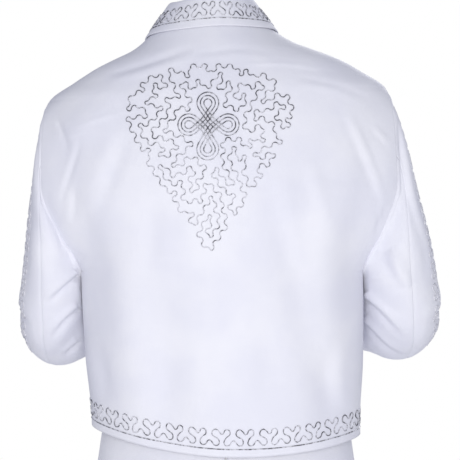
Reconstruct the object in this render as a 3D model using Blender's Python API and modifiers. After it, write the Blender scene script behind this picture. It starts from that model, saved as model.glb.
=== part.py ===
"""A white charro suit as it is worn: a short jacket with set-in sleeves and a turned-down collar,
and trousers.

Metres, +Z up. The wearer faces -Y and the wearer's left is +X. The origin is the middle of the base of
the neck. Each cut piece of cloth is one thin wall, and the pieces lie just apart at their seams.
"""

from collections import namedtuple

import bpy
import numpy as np
from mathutils import Vector
from mathutils.bvhtree import BVHTree

SUIT = "charro_suit"
CLOTH = 0.002
# Gaps: between two panels, between the two pieces of a sleeve, and where a wall stands on an edge
SEAM_GAP = 0.0007
SLEEVE_SEAM_GAP = 0.0011
EDGE_GAP = 0.0010

# Levels of the jacket
NECK_SIDE_Z = 0.014
NAPE_Z = 0.020
THROAT_Z = -0.088
SHOULDER_TIP_Z = -0.080
UNDERARM_Z = -0.318
HEM_SIDE_Z = -0.534
HEM_BACK_Z = -0.562
HEM_FRONT_Z = -0.552
HEM_BEND = 1.3
THROAT_BEND = 1.7

# How far the armhole's edge spreads to the back and to the front of the line between its ends
ARMHOLE_BACK = 0.050
ARMHOLE_FRONT = -0.056

# Half the gap between the two fronts, which are worn open
OPENING_TOP = 0.008
OPENING_HEM = 0.024

# How the wearer stands: the left shoulder drops, the left hem rides up, the hips lie to the right
TILT_AT_NECK = -0.052
TILT_AT_HEM = 0.034
TILT_OF_ARMS = -0.014
HIP_SHIFT = 0.026
# The neck lies to the left: it starts to shift at this level and has shifted fully this much above it
NECK_SHIFT = 0.0068
NECK_SHIFT_Z = -0.045
NECK_SHIFT_RISE = 0.055

# The collar's cloth lies this far off the body, and its fall this far off its stand
COLLAR_LIFT = 0.0032
COLLAR_FOLD = 0.0054
COLLAR_START = 0.012
COLLAR_POINTS = 45
FALL_SHARES = (0.25, 0.5, 0.75, 0.9, 1.0)

# The cords: their thickness, how far they lie off the cloth's middle, how far they run from the edges
# that they follow, and where on the collar's fall its cord runs
CORD = 0.0016
CORD_LIFT = 0.0027
HEM_CORD_RISE = 0.0105
FRONT_CORD_INSET = 0.0105
FRONT_CORD_TOP_Z = -0.135
COLLAR_CORD_SHARE = 0.75
CORD_SPACING = 0.010

WAIST_SEAM_Z = -0.478
WAISTBAND_TOP_Z = -0.438
# The waistband laps over its start, and eases out over this stretch before its first round ends
WAISTBAND_LAP = 0.024
WAISTBAND_LIFT = 0.0032
WAISTBAND_EASE = (0.014, 0.086)
WAISTBAND_COLUMNS = 56
FLY_WIDTH = 0.034
FLY_INSET = 0.0026
FLY_POINT = 0.35
FLY_END_Z = -0.600
FLY_LIFT = 0.0026
BUTTON_RADIUS = 0.008
BUTTON_HEIGHT = 0.003
BUTTON_LIFT = 0.0016
BUTTON_INSET = 0.012
CROTCH_Z = -0.692
LEG_END_Z = -1.465
LEG_COLUMNS = 12
SEAT_ROWS = 7
LEG_ROWS = 11

# Colours and finishes: red, green, blue, roughness, metallic
WHITE_CLOTH = (0.84, 0.84, 0.90, 0.62, 0.0)
SILVER_CORD = (0.62, 0.62, 0.66, 0.30, 1.0)
SHELL_BUTTON = (0.88, 0.87, 0.86, 0.25, 0.0)

# Sections across half a panel: from its centre line to its shoulder seam, armhole or side seam.
# wrap is how far round an ellipse the section has gone at its edge, in degrees.
Section = namedtuple("Section", "level half_width edge_y centre_y wrap")
BACK = (
    Section(0.030, 0.0600, 0.000, 0.054, 90),
    Section(0.014, 0.0760, 0.001, 0.062, 90),
    Section(0.000, 0.0900, 0.002, 0.070, 90),
    Section(-0.0126, 0.1085, 0.003, 0.077, 90),
    Section(-0.025, 0.1370, 0.004, 0.083, 90),
    Section(-0.038, 0.1660, 0.004, 0.089, 90),
    Section(-0.055, 0.1950, 0.003, 0.096, 88),
    Section(-0.080, 0.2300, 0.000, 0.105, 82),
    Section(-0.130, 0.2380, 0.000, 0.116, 68),
    Section(-0.200, 0.2390, 0.000, 0.124, 60),
    Section(-0.265, 0.2180, 0.000, 0.126, 66),
    Section(-0.318, 0.1925, 0.002, 0.124, 86),
    Section(-0.380, 0.1905, 0.004, 0.121, 90),
    Section(-0.440, 0.1880, 0.008, 0.119, 90),
    Section(-0.526, 0.1820, 0.008, 0.120, 90),
    Section(-0.570, 0.1830, 0.008, 0.121, 90),
)
FRONT = (
    Section(0.030, 0.0600, 0.000, -0.026, 90),
    Section(0.014, 0.0760, 0.001, -0.034, 90),
    Section(0.000, 0.0900, 0.002, -0.042, 90),
    Section(-0.0126, 0.1085, 0.003, -0.049, 90),
    Section(-0.025, 0.1370, 0.004, -0.054, 90),
    Section(-0.038, 0.1660, 0.004, -0.060, 90),
    Section(-0.055, 0.1950, 0.003, -0.070, 88),
    Section(-0.080, 0.2300, 0.000, -0.083, 82),
    Section(-0.130, 0.2120, 0.000, -0.101, 70),
    Section(-0.200, 0.1900, 0.000, -0.118, 64),
    Section(-0.265, 0.1850, 0.000, -0.126, 68),
    Section(-0.318, 0.1925, 0.002, -0.127, 86),
    Section(-0.380, 0.1905, 0.004, -0.125, 90),
    Section(-0.440, 0.1880, 0.008, -0.123, 90),
    Section(-0.526, 0.1820, 0.008, -0.122, 90),
    Section(-0.570, 0.1830, 0.008, -0.122, 90),
)

# The line down the middle of a sleeve, from under the armhole round the elbow to the cuff,
# with the tube's half width across the arm's bend and along it
Ring = namedtuple("Ring", "x y z across along")
SLEEVE = {
    "left": (
        Ring(0.2350, -0.012, -0.326, 0.0395, 0.0600),
        Ring(0.2370, -0.029, -0.374, 0.0430, 0.0560),
        Ring(0.2290, -0.077, -0.399, 0.0470, 0.0500),
        Ring(0.1920, -0.130, -0.390, 0.0450, 0.0450),
        Ring(0.1400, -0.192, -0.378, 0.0430, 0.0430),
        Ring(0.0920, -0.254, -0.366, 0.0400, 0.0400),
    ),
    "right": (
        Ring(0.2460, -0.012, -0.326, 0.0470, 0.0600),
        Ring(0.2500, -0.029, -0.373, 0.0490, 0.0570),
        Ring(0.2420, -0.077, -0.397, 0.0485, 0.0505),
        Ring(0.1990, -0.130, -0.390, 0.0460, 0.0460),
        Ring(0.1430, -0.192, -0.378, 0.0430, 0.0430),
        Ring(0.0920, -0.254, -0.366, 0.0400, 0.0400),
    ),
}
# Where the sleeve's seams run round the arm, in degrees from its outer side towards the back
BACK_SLEEVE_SEAM = 76
FRONT_SLEEVE_SEAM = -108
TOP_COLUMNS = 14
UNDER_COLUMNS = 12
CAP_ROWS = 7
ARM_ROWS = 15
CAP_START_PULL = {"left": 0.27, "right": 0.43}
CAP_END_PULL = 0.95
CAP_LENGTH = 0.12
UNDERARM_LIFT = 0.0030
# The cap leaves the armhole falling this steeply at its sides and top, and the underarm starts where
# the sleeve has turned this far in
CAP_FALL = 0.35
CAP_TOP_FALL = 0.55
UNDERARM_START = 0.4
# How far the cap's edge stays off the armhole's: in walls, straight on and for a sharp bend
CAP_CLEAR = 0.35
CAP_BEND_CLEAR = 2.1

# The collar's sections round the neck, in degrees from the nape: how high it stands,
# how far it leans in, and how far its fall drops below the neckline
Stand = namedtuple("Stand", "level height lean drop")
COLLAR = (
    Stand(0, 0.0300, 0.0090, 0.0120),
    Stand(60, 0.0340, 0.0180, 0.0140),
    Stand(90, 0.0390, 0.0220, 0.0160),
    Stand(130, 0.0310, 0.0120, 0.0230),
    Stand(180, 0.0230, 0.0030, 0.0280),
)

# Sections of one trouser leg, in metres and, for crotch, how far round its inner half it goes, in degrees
Leg = namedtuple("Leg", "level outer centre inner back_y front_y side_y crotch")
TROUSER = (
    Leg(-0.470, 0.1530, 0.0004, 0.0004, 0.095, -0.095, 0.004, 0),
    Leg(-0.525, 0.1660, 0.0004, 0.0004, 0.101, -0.099, 0.006, 0),
    Leg(-0.565, 0.1720, 0.0060, 0.0006, 0.107, -0.100, 0.008, 12),
    Leg(-0.610, 0.1780, 0.0260, 0.0010, 0.121, -0.101, 0.010, 34),
    Leg(-0.650, 0.1810, 0.0500, 0.0013, 0.124, -0.100, 0.012, 58),
    Leg(-0.680, 0.1815, 0.0780, 0.0015, 0.117, -0.096, 0.012, 78),
    Leg(CROTCH_Z, 0.1815, 0.0880, 0.0017, 0.112, -0.094, 0.012, 90),
    Leg(-0.760, 0.1800, 0.0940, 0.0100, 0.098, -0.083, 0.010, 90),
    Leg(-0.880, 0.1740, 0.1000, 0.0260, 0.082, -0.072, 0.006, 90),
    Leg(-1.000, 0.1700, 0.1060, 0.0420, 0.070, -0.064, 0.002, 90),
    Leg(-1.140, 0.1680, 0.1090, 0.0500, 0.069, -0.056, 0.006, 90),
    Leg(-1.300, 0.1680, 0.1125, 0.0570, 0.066, -0.052, 0.006, 90),
    Leg(LEG_END_Z, 0.1700, 0.1170, 0.0640, 0.062, -0.054, 0.003, 90),
)

# Soft folds: where each starts and ends, across the panel (0 at its centre line, 1 at its edge, less
# than 0 on the right half) and by level, with its width and how far it stands out
Fold = namedtuple("Fold", "start start_level end end_level width height")
BACK_FOLDS = (
    Fold(0.62, -0.170, 0.50, -0.560, 0.030, 0.0060),
    Fold(0.34, -0.300, 0.30, -0.580, 0.034, -0.0045),
    Fold(-0.66, -0.160, -0.46, -0.560, 0.032, 0.0060),
    Fold(-0.36, -0.240, -0.62, -0.540, 0.030, -0.0055),
    Fold(0.84, -0.130, 0.72, -0.310, 0.022, -0.0050),
    Fold(-0.84, -0.120, -0.74, -0.320, 0.022, -0.0050),
)
FRONT_FOLDS = (
    Fold(0.80, -0.150, 0.55, -0.330, 0.026, -0.0050),
    Fold(0.60, -0.260, 0.50, -0.560, 0.032, 0.0050),
)
# Folds of a sleeve: across is by half turns from its outer side towards the back, and the level is how
# far along the arm they lie from the underarm, less than 0 in the cap
SLEEVE_FOLDS = (
    Fold(0.83, 0.010, 0.33, 0.050, 0.016, -0.0045),
    Fold(0.92, 0.045, 0.39, 0.085, 0.016, -0.0045),
    Fold(-0.83, 0.050, -0.33, 0.080, 0.018, -0.0040),
    Fold(0.67, 0.130, 0.22, 0.150, 0.020, -0.0030),
)
SLEEVE_GIRTH = 0.30


def smooth(levels, values, at):
    """A curve through the values with no overshoot, read at the given levels."""
    order = np.argsort(levels)
    xs = np.array(levels, float)[order]
    ys = np.array(values, float)[order]
    steps = np.diff(xs)
    slopes = np.diff(ys) / steps
    tangents = np.zeros(len(xs))
    tangents[0], tangents[-1] = slopes[0], slopes[-1]
    for i in range(1, len(xs) - 1):
        before, after = slopes[i - 1], slopes[i]
        if before * after > 0:
            first = 2 * steps[i] + steps[i - 1]
            second = steps[i] + 2 * steps[i - 1]
            tangents[i] = (first + second) / (first / before + second / after)
    at = np.clip(np.asarray(at, float), xs[0], xs[-1])
    cell = np.clip(np.searchsorted(xs, at) - 1, 0, len(steps) - 1)
    wide = steps[cell]
    s = (at - xs[cell]) / wide
    return (
        ys[cell] * (1 + 2 * s) * (1 - s) ** 2
        + tangents[cell] * wide * s * (1 - s) ** 2
        + ys[cell + 1] * s * s * (3 - 2 * s)
        + tangents[cell + 1] * wide * s * s * (s - 1)
    )


def column(table, name, at):
    """One named column of a table of levels, as a smooth curve."""
    return smooth([row.level for row in table], [getattr(row, name) for row in table], at)


def unit(vectors):
    """The same directions with length one."""
    return vectors / np.maximum(np.linalg.norm(vectors, axis=-1, keepdims=True), 1e-12)


def along(points, shares):
    """Points at the given shares of the length of a line through the points."""
    steps = np.linalg.norm(np.diff(points, axis=0), axis=-1)
    run = np.concatenate([[0], steps.cumsum()])
    at = np.asarray(shares) * run[-1]
    return np.stack([np.interp(at, run, axis) for axis in points.T], -1)


def armhole_share(level):
    """How open the armhole is at a level: 0 at the shoulder tip and underarm, 1 half way."""
    middle = (SHOULDER_TIP_Z + UNDERARM_Z) / 2
    half = (SHOULDER_TIP_Z - UNDERARM_Z) / 2
    return np.sqrt(np.clip(1 - ((level - middle) / half) ** 2, 0, 1))


def armhole_level(turn):
    """The level round the armhole: at 0 degrees the shoulder tip, at 180 the underarm."""
    middle = (SHOULDER_TIP_Z + UNDERARM_Z) / 2
    half = (SHOULDER_TIP_Z - UNDERARM_Z) / 2
    return middle + half * np.cos(np.radians(turn))


def section_points(table, spread, across, level):
    """Points of the jacket's body: across is the share of a section's length. Also that length."""
    level, across = np.broadcast_arrays(np.asarray(level, float), across)
    width = column(table, "half_width", level)
    centre = column(table, "centre_y", level)
    edge = column(table, "edge_y", level) + spread * armhole_share(level)
    wrap = np.radians(column(table, "wrap", level))
    turns = np.linspace(0, 1, 49) * wrap[..., None]
    x = width[..., None] * np.sin(turns) / np.sin(wrap)[..., None]
    rise = (1 - np.cos(turns)) / (1 - np.cos(wrap))[..., None]
    y = centre[..., None] + (edge - centre)[..., None] * rise
    lengths = np.hypot(np.diff(x, axis=-1), np.diff(y, axis=-1)).cumsum(-1)
    points = np.empty((*level.shape, 3))
    for at in np.ndindex(level.shape):
        share = np.concatenate([[0], lengths[at]]) / lengths[at][-1]
        points[at] = (
            np.sign(across[at]) * np.interp(abs(across[at]), share, x[at]),
            np.interp(abs(across[at]), share, y[at]),
            level[at],
        )
    return points, lengths[..., -1]


def fold_height(folds, across, level, length):
    """How far the folds push the cloth out at each point."""
    height = np.zeros(np.shape(level))
    for fold in folds:
        run = (fold.end - fold.start) * length
        rise = fold.end_level - fold.start_level
        dx = (across - fold.start) * length
        dz = level - fold.start_level
        reach = np.hypot(run, rise)
        share = np.clip((dx * run + dz * rise) / reach**2, 0, 1)
        off = (dx * rise - dz * run) / reach
        ends = np.sin(np.pi * share) ** 0.7
        height = height + fold.height * ends * np.exp(-((off / fold.width) ** 2))
    return height


def grid_normals(points):
    """A direction square to the cloth at each point of a grid."""
    return unit(np.cross(np.gradient(points, axis=1), np.gradient(points, axis=0)))


def outward(points, centre):
    """The directions square to the cloth, turned away from a centre line."""
    normals = grid_normals(points)
    away = points - centre
    return normals * np.where(np.sum(normals * away, -1, keepdims=True) < 0, -1, 1)


def stand(points, arm=0.0):
    """Tilts and shifts the jacket as the wearer stands. arm is how much of the arms' tilt is used."""
    x, y, z = np.moveaxis(points, -1, 0)
    down = np.clip(z / HEM_SIDE_Z, -0.2, 1)
    body = TILT_AT_NECK + (TILT_AT_HEM - TILT_AT_NECK) * down
    tilt = body + (TILT_OF_ARMS - body) * arm
    shift = HIP_SHIFT * np.maximum(z, HEM_SIDE_Z)
    shift = shift + NECK_SHIFT * np.clip((z - NECK_SHIFT_Z) / NECK_SHIFT_RISE, 0, 1)
    return np.stack([x + shift, y, z + x * tilt], -1)


def length_of(points):
    """The length of a line through the points."""
    return np.linalg.norm(np.diff(points, axis=0), axis=-1).sum()


def square_to(way, edge):
    """The directions turned square to the edge that runs through the points."""
    run = unit(np.gradient(edge, axis=0))
    return unit(way - run * np.sum(way * run, -1, keepdims=True))


def pull_in(points, first_column=0.0, last_column=0.0):
    """Moves the side edges of a grid of points towards its inside, to leave the gap at a seam."""
    points = points.copy()
    first = square_to(points[:, 1] - points[:, 0], points[:, 0])
    last = square_to(points[:, -2] - points[:, -1], points[:, -1])
    points[:, 0] += first_column * first
    points[:, -1] += last_column * last
    return points


def material(name, finish):
    """A plain finish of one colour."""
    red, green, blue, roughness, metallic = finish
    made = bpy.data.materials.new(name)
    made.use_nodes = True
    shader = made.node_tree.nodes["Principled BSDF"]
    shader.inputs["Base Color"].default_value = (red, green, blue, 1)
    shader.inputs["Roughness"].default_value = roughness
    shader.inputs["Metallic"].default_value = metallic
    made.diffuse_color = (red, green, blue, 1)
    return made


def linked(name, shape, finish):
    """A new object of the suit, in a finish of its own."""
    shape.materials.append(material(f"{name}_finish", finish))
    piece = bpy.data.objects.new(name, shape)
    bpy.data.collections[SUIT].objects.link(piece)
    return piece


def grid_faces(rows, columns):
    """The corners of the faces of a grid of points."""
    index = np.arange(rows * columns).reshape(rows, columns)
    corners = (index[:-1, :-1], index[:-1, 1:], index[1:, 1:], index[1:, :-1])
    return np.stack(corners, -1).reshape(-1, 4).tolist()


def wall(name, points, finish=WHITE_CLOTH, thickness=CLOTH):
    """A panel of cloth: an open grid of faces, given its thickness half to each side."""
    mesh = bpy.data.meshes.new(name)
    mesh.from_pydata(points.reshape(-1, 3).tolist(), [], grid_faces(*points.shape[:2]))
    mesh.shade_smooth()
    piece = linked(name, mesh, finish)
    solidify = piece.modifiers.new("thickness", "SOLIDIFY")
    solidify.thickness = thickness
    solidify.offset = 0
    return piece


def cord(name, points, thickness=CORD):
    """A cord laid along the points."""
    curve = bpy.data.curves.new(name, "CURVE")
    curve.dimensions = "3D"
    curve.bevel_depth = thickness / 2
    curve.bevel_resolution = 0
    curve.use_fill_caps = True
    spline = curve.splines.new("POLY")
    spline.points.add(len(points) - 1)
    for spot, point in zip(spline.points, points):
        spot.co = (*point, 1)
    return linked(name, curve, SILVER_CORD)


def edge_levels(below=8, armhole=8, shoulder=4):
    """Levels of a panel's rows at its edge: below the underarm, along the armhole, on the shoulder seam."""
    side = np.linspace(HEM_SIDE_Z, UNDERARM_Z, below + 1)[:-1]
    hole = armhole_level(np.linspace(180, 0, armhole + 1))[:-1]
    seam = np.linspace(SHOULDER_TIP_Z, NECK_SIDE_Z, shoulder + 1)
    return np.concatenate([side, hole, seam])


def slanted(levels, across, hem_centre, neck_centre, neck_bend):
    """A panel's levels: the rows of its edge, drawn to the hem's curve below and the neckline's above."""
    edge = levels[:, None]
    to_hem = np.clip((UNDERARM_Z - edge) / (UNDERARM_Z - HEM_SIDE_Z), 0, 1)
    to_neck = np.clip((edge - UNDERARM_Z) / (NECK_SIDE_Z - UNDERARM_Z), 0, 1) ** 1.5
    hem = (hem_centre - HEM_SIDE_Z) * np.cos(np.abs(across) * np.pi / 2) ** HEM_BEND
    neck = (neck_centre - NECK_SIDE_Z) * (1 - np.abs(across)) ** neck_bend
    return edge + hem * to_hem + neck * to_neck


def folded(table, spread, folds, across, level):
    """The points of a body panel with its folds, as the wearer stands."""
    points, length = section_points(table, spread, across, level)
    normals = outward(points, points * [0, 0, 1])
    height = fold_height(folds, across, level, length)[..., None]
    return stand(points + normals * height)


def back_points(columns=24):
    """The back's points, from its right side to its left and from the hem up."""
    across = np.linspace(-1, 1, columns + 1)[None, :]
    level = slanted(edge_levels(), across, HEM_BACK_Z, NAPE_Z, 1.0)
    return folded(BACK, ARMHOLE_BACK, BACK_FOLDS, across, level)


def front_points(side, columns=12):
    """A front's points, from its open edge to its side and up. side is 1 on the left, -1 on the right."""
    share = np.linspace(0, 1, columns + 1)[None, :]
    level = slanted(edge_levels(), share, HEM_FRONT_Z, THROAT_Z, THROAT_BEND)
    down = np.clip((THROAT_Z - level) / (THROAT_Z - HEM_FRONT_Z), 0, 1)
    gap = OPENING_TOP + (OPENING_HEM - OPENING_TOP) * down
    length = section_points(FRONT, ARMHOLE_FRONT, share, level)[1]
    across = gap / length + share * (1 - gap / length)
    folds = [fold._replace(start=side * fold.start, end=side * fold.end) for fold in FRONT_FOLDS]
    return folded(FRONT, ARMHOLE_FRONT, folds, side * across, level)


class Body:
    """The jacket's body, for what lies on it."""

    def __init__(self, grids):
        points, faces = [], []
        for grid in grids:
            start = len(points)
            points.extend(grid.reshape(-1, 3).tolist())
            faces.extend([[start + i for i in face] for face in grid_faces(*grid.shape[:2])])
        self.tree = BVHTree.FromPolygons(points, faces)

    def lifted(self, points, lift, at_least=True):
        """The points at lift from the cloth's outer side: moved there, or only where they are nearer."""
        moved = []
        for point in points.reshape(-1, 3):
            near, normal, _, _ = self.tree.find_nearest(Vector(point))
            away = Vector((near.x, near.y, 0))
            normal = normal if normal.dot(away) > 0 else -normal
            height = (Vector(point) - near).dot(normal)
            keep = at_least and height >= lift
            moved.append(point if keep else np.array(near + normal * lift))
        return np.array(moved).reshape(points.shape)


def armhole_points(turns):
    """The armhole's edge at each number of degrees round it, and the direction its panel runs out to."""
    points, leave = np.empty((len(turns), 3)), np.empty((len(turns), 3))
    for i, turn in enumerate(turns):
        back = np.sin(np.radians(turn)) >= 0
        table, spread = (BACK, ARMHOLE_BACK) if back else (FRONT, ARMHOLE_FRONT)
        level = armhole_level(turn)
        pair, _ = section_points(table, spread, np.array([0.97, 1.0]), level)
        points[i] = pair[1]
        leave[i] = unit(pair[1] - pair[0])
    return points, leave


def sleeve_rings(side, rows):
    """Points down the middle of the sleeve, with its outer and back directions and half widths."""
    spots = np.array(SLEEVE[side])
    gaps = np.linalg.norm(np.diff(spots[:, :3], axis=0), axis=-1)
    run = np.concatenate([[0], gaps.cumsum()])
    at = np.linspace(0, run[-1], rows)
    lines = [smooth(run, spots[:, i], at) for i in range(5)]
    middle = np.stack(lines[:3], -1)
    downward = unit(np.gradient(middle, axis=0))
    downward[0] = unit(downward[0] + np.array([0, 0.1, -0.6]))
    outer = np.array([1.0, 0, 0]) - downward * downward[:, :1]
    outer = unit(outer)
    back = np.cross(outer, downward)
    return middle, outer, back, lines[3], lines[4], at


def sleeve_turns():
    """The degrees round a sleeve of its columns: the top piece's, then the under piece's."""
    top = np.linspace(FRONT_SLEEVE_SEAM, BACK_SLEEVE_SEAM, TOP_COLUMNS + 1)
    under = np.linspace(BACK_SLEEVE_SEAM, FRONT_SLEEVE_SEAM + 360, UNDER_COLUMNS + 1)
    return np.concatenate([top, under[1:]])


def sleeve_points(side, turns):
    """The sleeve's points at each number of degrees round it, from the armhole to the cuff."""
    angle = np.radians(turns)
    middle, outer, back, across, depth, at = sleeve_rings(side, ARM_ROWS + 1)
    arm = (
        middle[:, None]
        + outer[:, None] * (across[:, None] * np.cos(angle))[..., None]
        + back[:, None] * (depth[:, None] * np.sin(angle))[..., None]
    )
    edge, leave = armhole_points(turns)
    under = np.clip((-np.cos(angle) - UNDERARM_START) / (1 - UNDERARM_START), 0, 1)[:, None]
    down = np.array([0, 0, -1.0])
    fall = CAP_FALL + CAP_TOP_FALL * np.maximum(np.cos(angle), 0)[:, None]
    start_way = unit(leave * (1 - under) + down * (fall + under))
    bend = np.clip(np.sum(leave * start_way, -1, keepdims=True), -0.5, 1)
    clear = SEAM_GAP + CLOTH * (CAP_CLEAR + CAP_BEND_CLEAR * np.sqrt((1 - bend) / (1 + bend)))
    edge = edge + start_way * clear + np.array([1.0, 0, 0]) * UNDERARM_LIFT * under
    end_way = unit(arm[1] - arm[0])
    reach = np.linalg.norm(arm[0] - edge, axis=-1, keepdims=True)
    t = np.linspace(0, 1, CAP_ROWS + 1)[:-1, None, None]
    cap = (
        edge * (1 + 2 * t) * (1 - t) ** 2
        + start_way * reach * CAP_START_PULL[side] * t * (1 - t) ** 2
        + arm[0] * t * t * (3 - 2 * t)
        + end_way * reach * CAP_END_PULL * t * t * (t - 1)
    )
    points = np.concatenate([cap, arm])
    runs = np.concatenate([(t[:, 0, 0] - 1) * CAP_LENGTH, at])[:, None]
    centre = np.concatenate([np.repeat(middle[:1], CAP_ROWS, 0), middle])[:, None]
    closed = np.concatenate([points[:, -2:-1], points, points[:, 1:2]], 1)
    normals = outward(closed, centre)[:, 1:-1]
    wrapped = (np.asarray(turns) + 180) % 360 - 180
    height = fold_height(SLEEVE_FOLDS, wrapped[None] / 180, runs, SLEEVE_GIRTH / 2)
    points = points + normals * height[..., None]
    share = np.concatenate([np.linspace(0, 1, CAP_ROWS + 1)[:-1], np.ones(ARM_ROWS + 1)])
    return points, share[:, None]


def sleeve_grid(side):
    """The points of a whole sleeve, as the wearer stands."""
    points, share = sleeve_points(side, sleeve_turns())
    if side == "right":
        points = points * [-1, 1, 1]
    return stand(points, share)


def make_sleeves():
    """The four pieces of the two sleeves."""
    for side in ("left", "right"):
        whole = sleeve_grid(side)
        top, under = whole[:, : TOP_COLUMNS + 1], whole[:, TOP_COLUMNS:]
        half = SLEEVE_SEAM_GAP / 2
        wall(f"sleeve_{side}_top", pull_in(top, first_column=half, last_column=half))
        wall(f"sleeve_{side}_under", pull_in(under, first_column=half, last_column=half))


def neckline(back, left, right):
    """Points round the neckline from the left front to the right, and the directions up out of the body."""
    line = np.concatenate([left[-1], back[-1][::-1][1:-1], right[-1][::-1]])
    below = np.concatenate([left[-2], back[-2][::-1][1:-1], right[-2][::-1]])
    start = COLLAR_START / length_of(line)
    shares = np.linspace(start, 1 - start, COLLAR_POINTS)
    base = along(line, shares)
    ways = along(unit(line - below), shares)
    for _ in range(3):
        ways[1:-1] = (ways[:-2] + 2 * ways[1:-1] + ways[2:]) / 4
    return base, unit(ways)


def collar_points(base, up, body):
    """The collar's sheet: up from the neckline, over its fold and down to its edge."""
    turn = np.degrees(np.arctan2(np.abs(base[:, 0]), base[:, 1]))
    height = column(COLLAR, "height", turn)[:, None]
    lean = column(COLLAR, "lean", turn)[:, None]
    drop = column(COLLAR, "drop", turn)[:, None]
    away = unit(base * [1, 1, 0])
    base = base + up * EDGE_GAP
    rise = unit(np.array([0, 0, 1.0]) * np.sqrt(height**2 - lean**2) - away * lean)
    top = base + rise * height
    side = unit(away - rise * np.sum(away * rise, -1, keepdims=True))
    half = COLLAR_FOLD / 2
    over = [
        top + side * half * (1 - np.cos(a)) + rise * half * np.sin(a)
        for a in np.radians([45, 90, 135, 180])
    ]
    edge = base - up * drop + side * COLLAR_FOLD
    edge = body.lifted(edge, COLLAR_LIFT, at_least=False)
    fall = [over[-1] + (edge - over[-1]) * s for s in FALL_SHARES]
    fall = [body.lifted(row, COLLAR_LIFT) for row in fall]
    stand_rows = [base, base + rise * height / 2, top]
    return np.stack(stand_rows + over + fall)


def border_line(back, left, right):
    """The line of the border cord: down the left front, round the hem and up the right front."""

    def hem_of(grid):
        return grid[0] + unit(grid[1] - grid[0]) * HEM_CORD_RISE

    def front_of(grid):
        line = grid[:, 0] + unit(grid[:, 1] - grid[:, 0]) * FRONT_CORD_INSET
        return line[(line[:, 2] < FRONT_CORD_TOP_Z)][1:]

    left_part = [front_of(left)[::-1], hem_of(left)[1:-1]]
    right_part = [hem_of(right)[::-1][1:-1], front_of(right)]
    return np.concatenate(left_part + [hem_of(back)[::-1][1:-1]] + right_part)


def rounded(points, passes=2):
    """The line with evenly spaced points and softened corners."""
    line = along(points, np.linspace(0, 1, int(length_of(points) / CORD_SPACING) + 1))
    for _ in range(passes):
        line[1:-1] = (line[:-2] + 2 * line[1:-1] + line[2:]) / 4
    return line


def make_jacket():
    """The jacket's body, collar and border cords."""
    back, left, right = back_points(), front_points(1), front_points(-1)
    body = Body((back, left, right))
    half = SEAM_GAP / 2
    seams = pull_in(back, first_column=half, last_column=half)
    wall("jacket_back", seams)
    wall("jacket_front_left", pull_in(left, last_column=half))
    wall("jacket_front_right", pull_in(right, last_column=half))
    collar = collar_points(*neckline(back, left, right), body)
    wall("collar", collar)
    return body, back, left, right, collar


def make_cords(body, back, left, right, collar):
    """The border cord and the collar's cord."""
    border = rounded(border_line(back, left, right))
    cord("border_cord", body.lifted(border, CORD_LIFT, at_least=False))
    fall = collar[-len(FALL_SHARES) :]
    row = FALL_SHARES.index(COLLAR_CORD_SHARE)
    line = fall[row] + outward(fall, fall * [0, 0, 1])[row] * CORD_LIFT
    cord("collar_cord", rounded(line, passes=0))


def leg_half(level, back):
    """A polyline of one leg's section, from its outer side to its inner edge, over its back or its front."""
    outer, centre, inner = [column(TROUSER, name, level) for name in ("outer", "centre", "inner")]
    side = column(TROUSER, "side_y", level)
    far = column(TROUSER, "back_y" if back else "front_y", level)
    crotch = np.radians(column(TROUSER, "crotch", level))
    first = np.linspace(-np.pi / 2, 0, 25)
    second = np.linspace(0, 1, 25)[1:] * crotch
    whole = np.sin(crotch) if crotch > 1e-3 else 1.0
    outside = centre - (outer - centre) * np.sin(first)
    inside = centre - (centre - inner) * np.sin(second) / whole
    x = np.concatenate([outside, inside])
    y = side + (far - side) * np.cos(np.concatenate([first, second]))
    return np.stack([x, y, np.full(len(x), level)], -1)


def leg_points(side, back):
    """The points of one leg panel, from the waist down and from its outer seam to its inner one."""
    seat = np.linspace(WAIST_SEAM_Z, CROTCH_Z, SEAT_ROWS + 1)[:-1]
    levels = np.concatenate([seat, np.linspace(CROTCH_Z, LEG_END_Z, LEG_ROWS + 1)])
    shares = np.linspace(0, 1, LEG_COLUMNS + 1)
    grid = np.stack([along(leg_half(level, back), shares) for level in levels])
    return grid * [side, 1, 1]


def shifted(points):
    """Moves the trousers sideways with the hips."""
    return points + np.array([HIP_SHIFT * HEM_SIDE_Z, 0, 0])


def waist_line(level):
    """The waist's outline at a level, from the front's middle round the wearer's left to the front again."""
    front, back = leg_half(level, False), leg_half(level, True)
    left = np.concatenate([front[::-1], back[1:]])
    right = (left * [-1, 1, 1])[::-1]
    return np.concatenate([left, right[1:]])


def waistband_line():
    """The waistband's lower edge: once round the waist, then on over its own start."""
    ring = waist_line(WAIST_SEAM_Z)
    run = length_of(ring)
    at = np.append(np.linspace(0, run, WAISTBAND_COLUMNS + 1), run + WAISTBAND_LAP)
    line = along(ring, np.where(at > run, at - run, at) / run)
    lap = np.interp(run - at, WAISTBAND_EASE, (1.0, 0.0))
    return line + unit(line * [1, 1, 0]) * (lap * WAISTBAND_LIFT)[:, None]


def fly_points():
    """The fly's facing, which lies on the left front's middle edge and narrows to its lower end."""
    rows = [row[::-1] for row in shifted(leg_points(1, False)) if row[0, 2] > FLY_END_Z]
    widths = FLY_WIDTH * np.sqrt(np.linspace(1, FLY_POINT, len(rows)))
    made = []
    for row, width in zip(rows, widths):
        made.append(along(row, np.linspace(FLY_INSET, FLY_INSET + width, 4) / length_of(row)))
    fly = np.stack(made)
    return fly + outward(fly, fly * [0, 0, 1] + [0, 0.02, 0]) * FLY_LIFT


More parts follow.
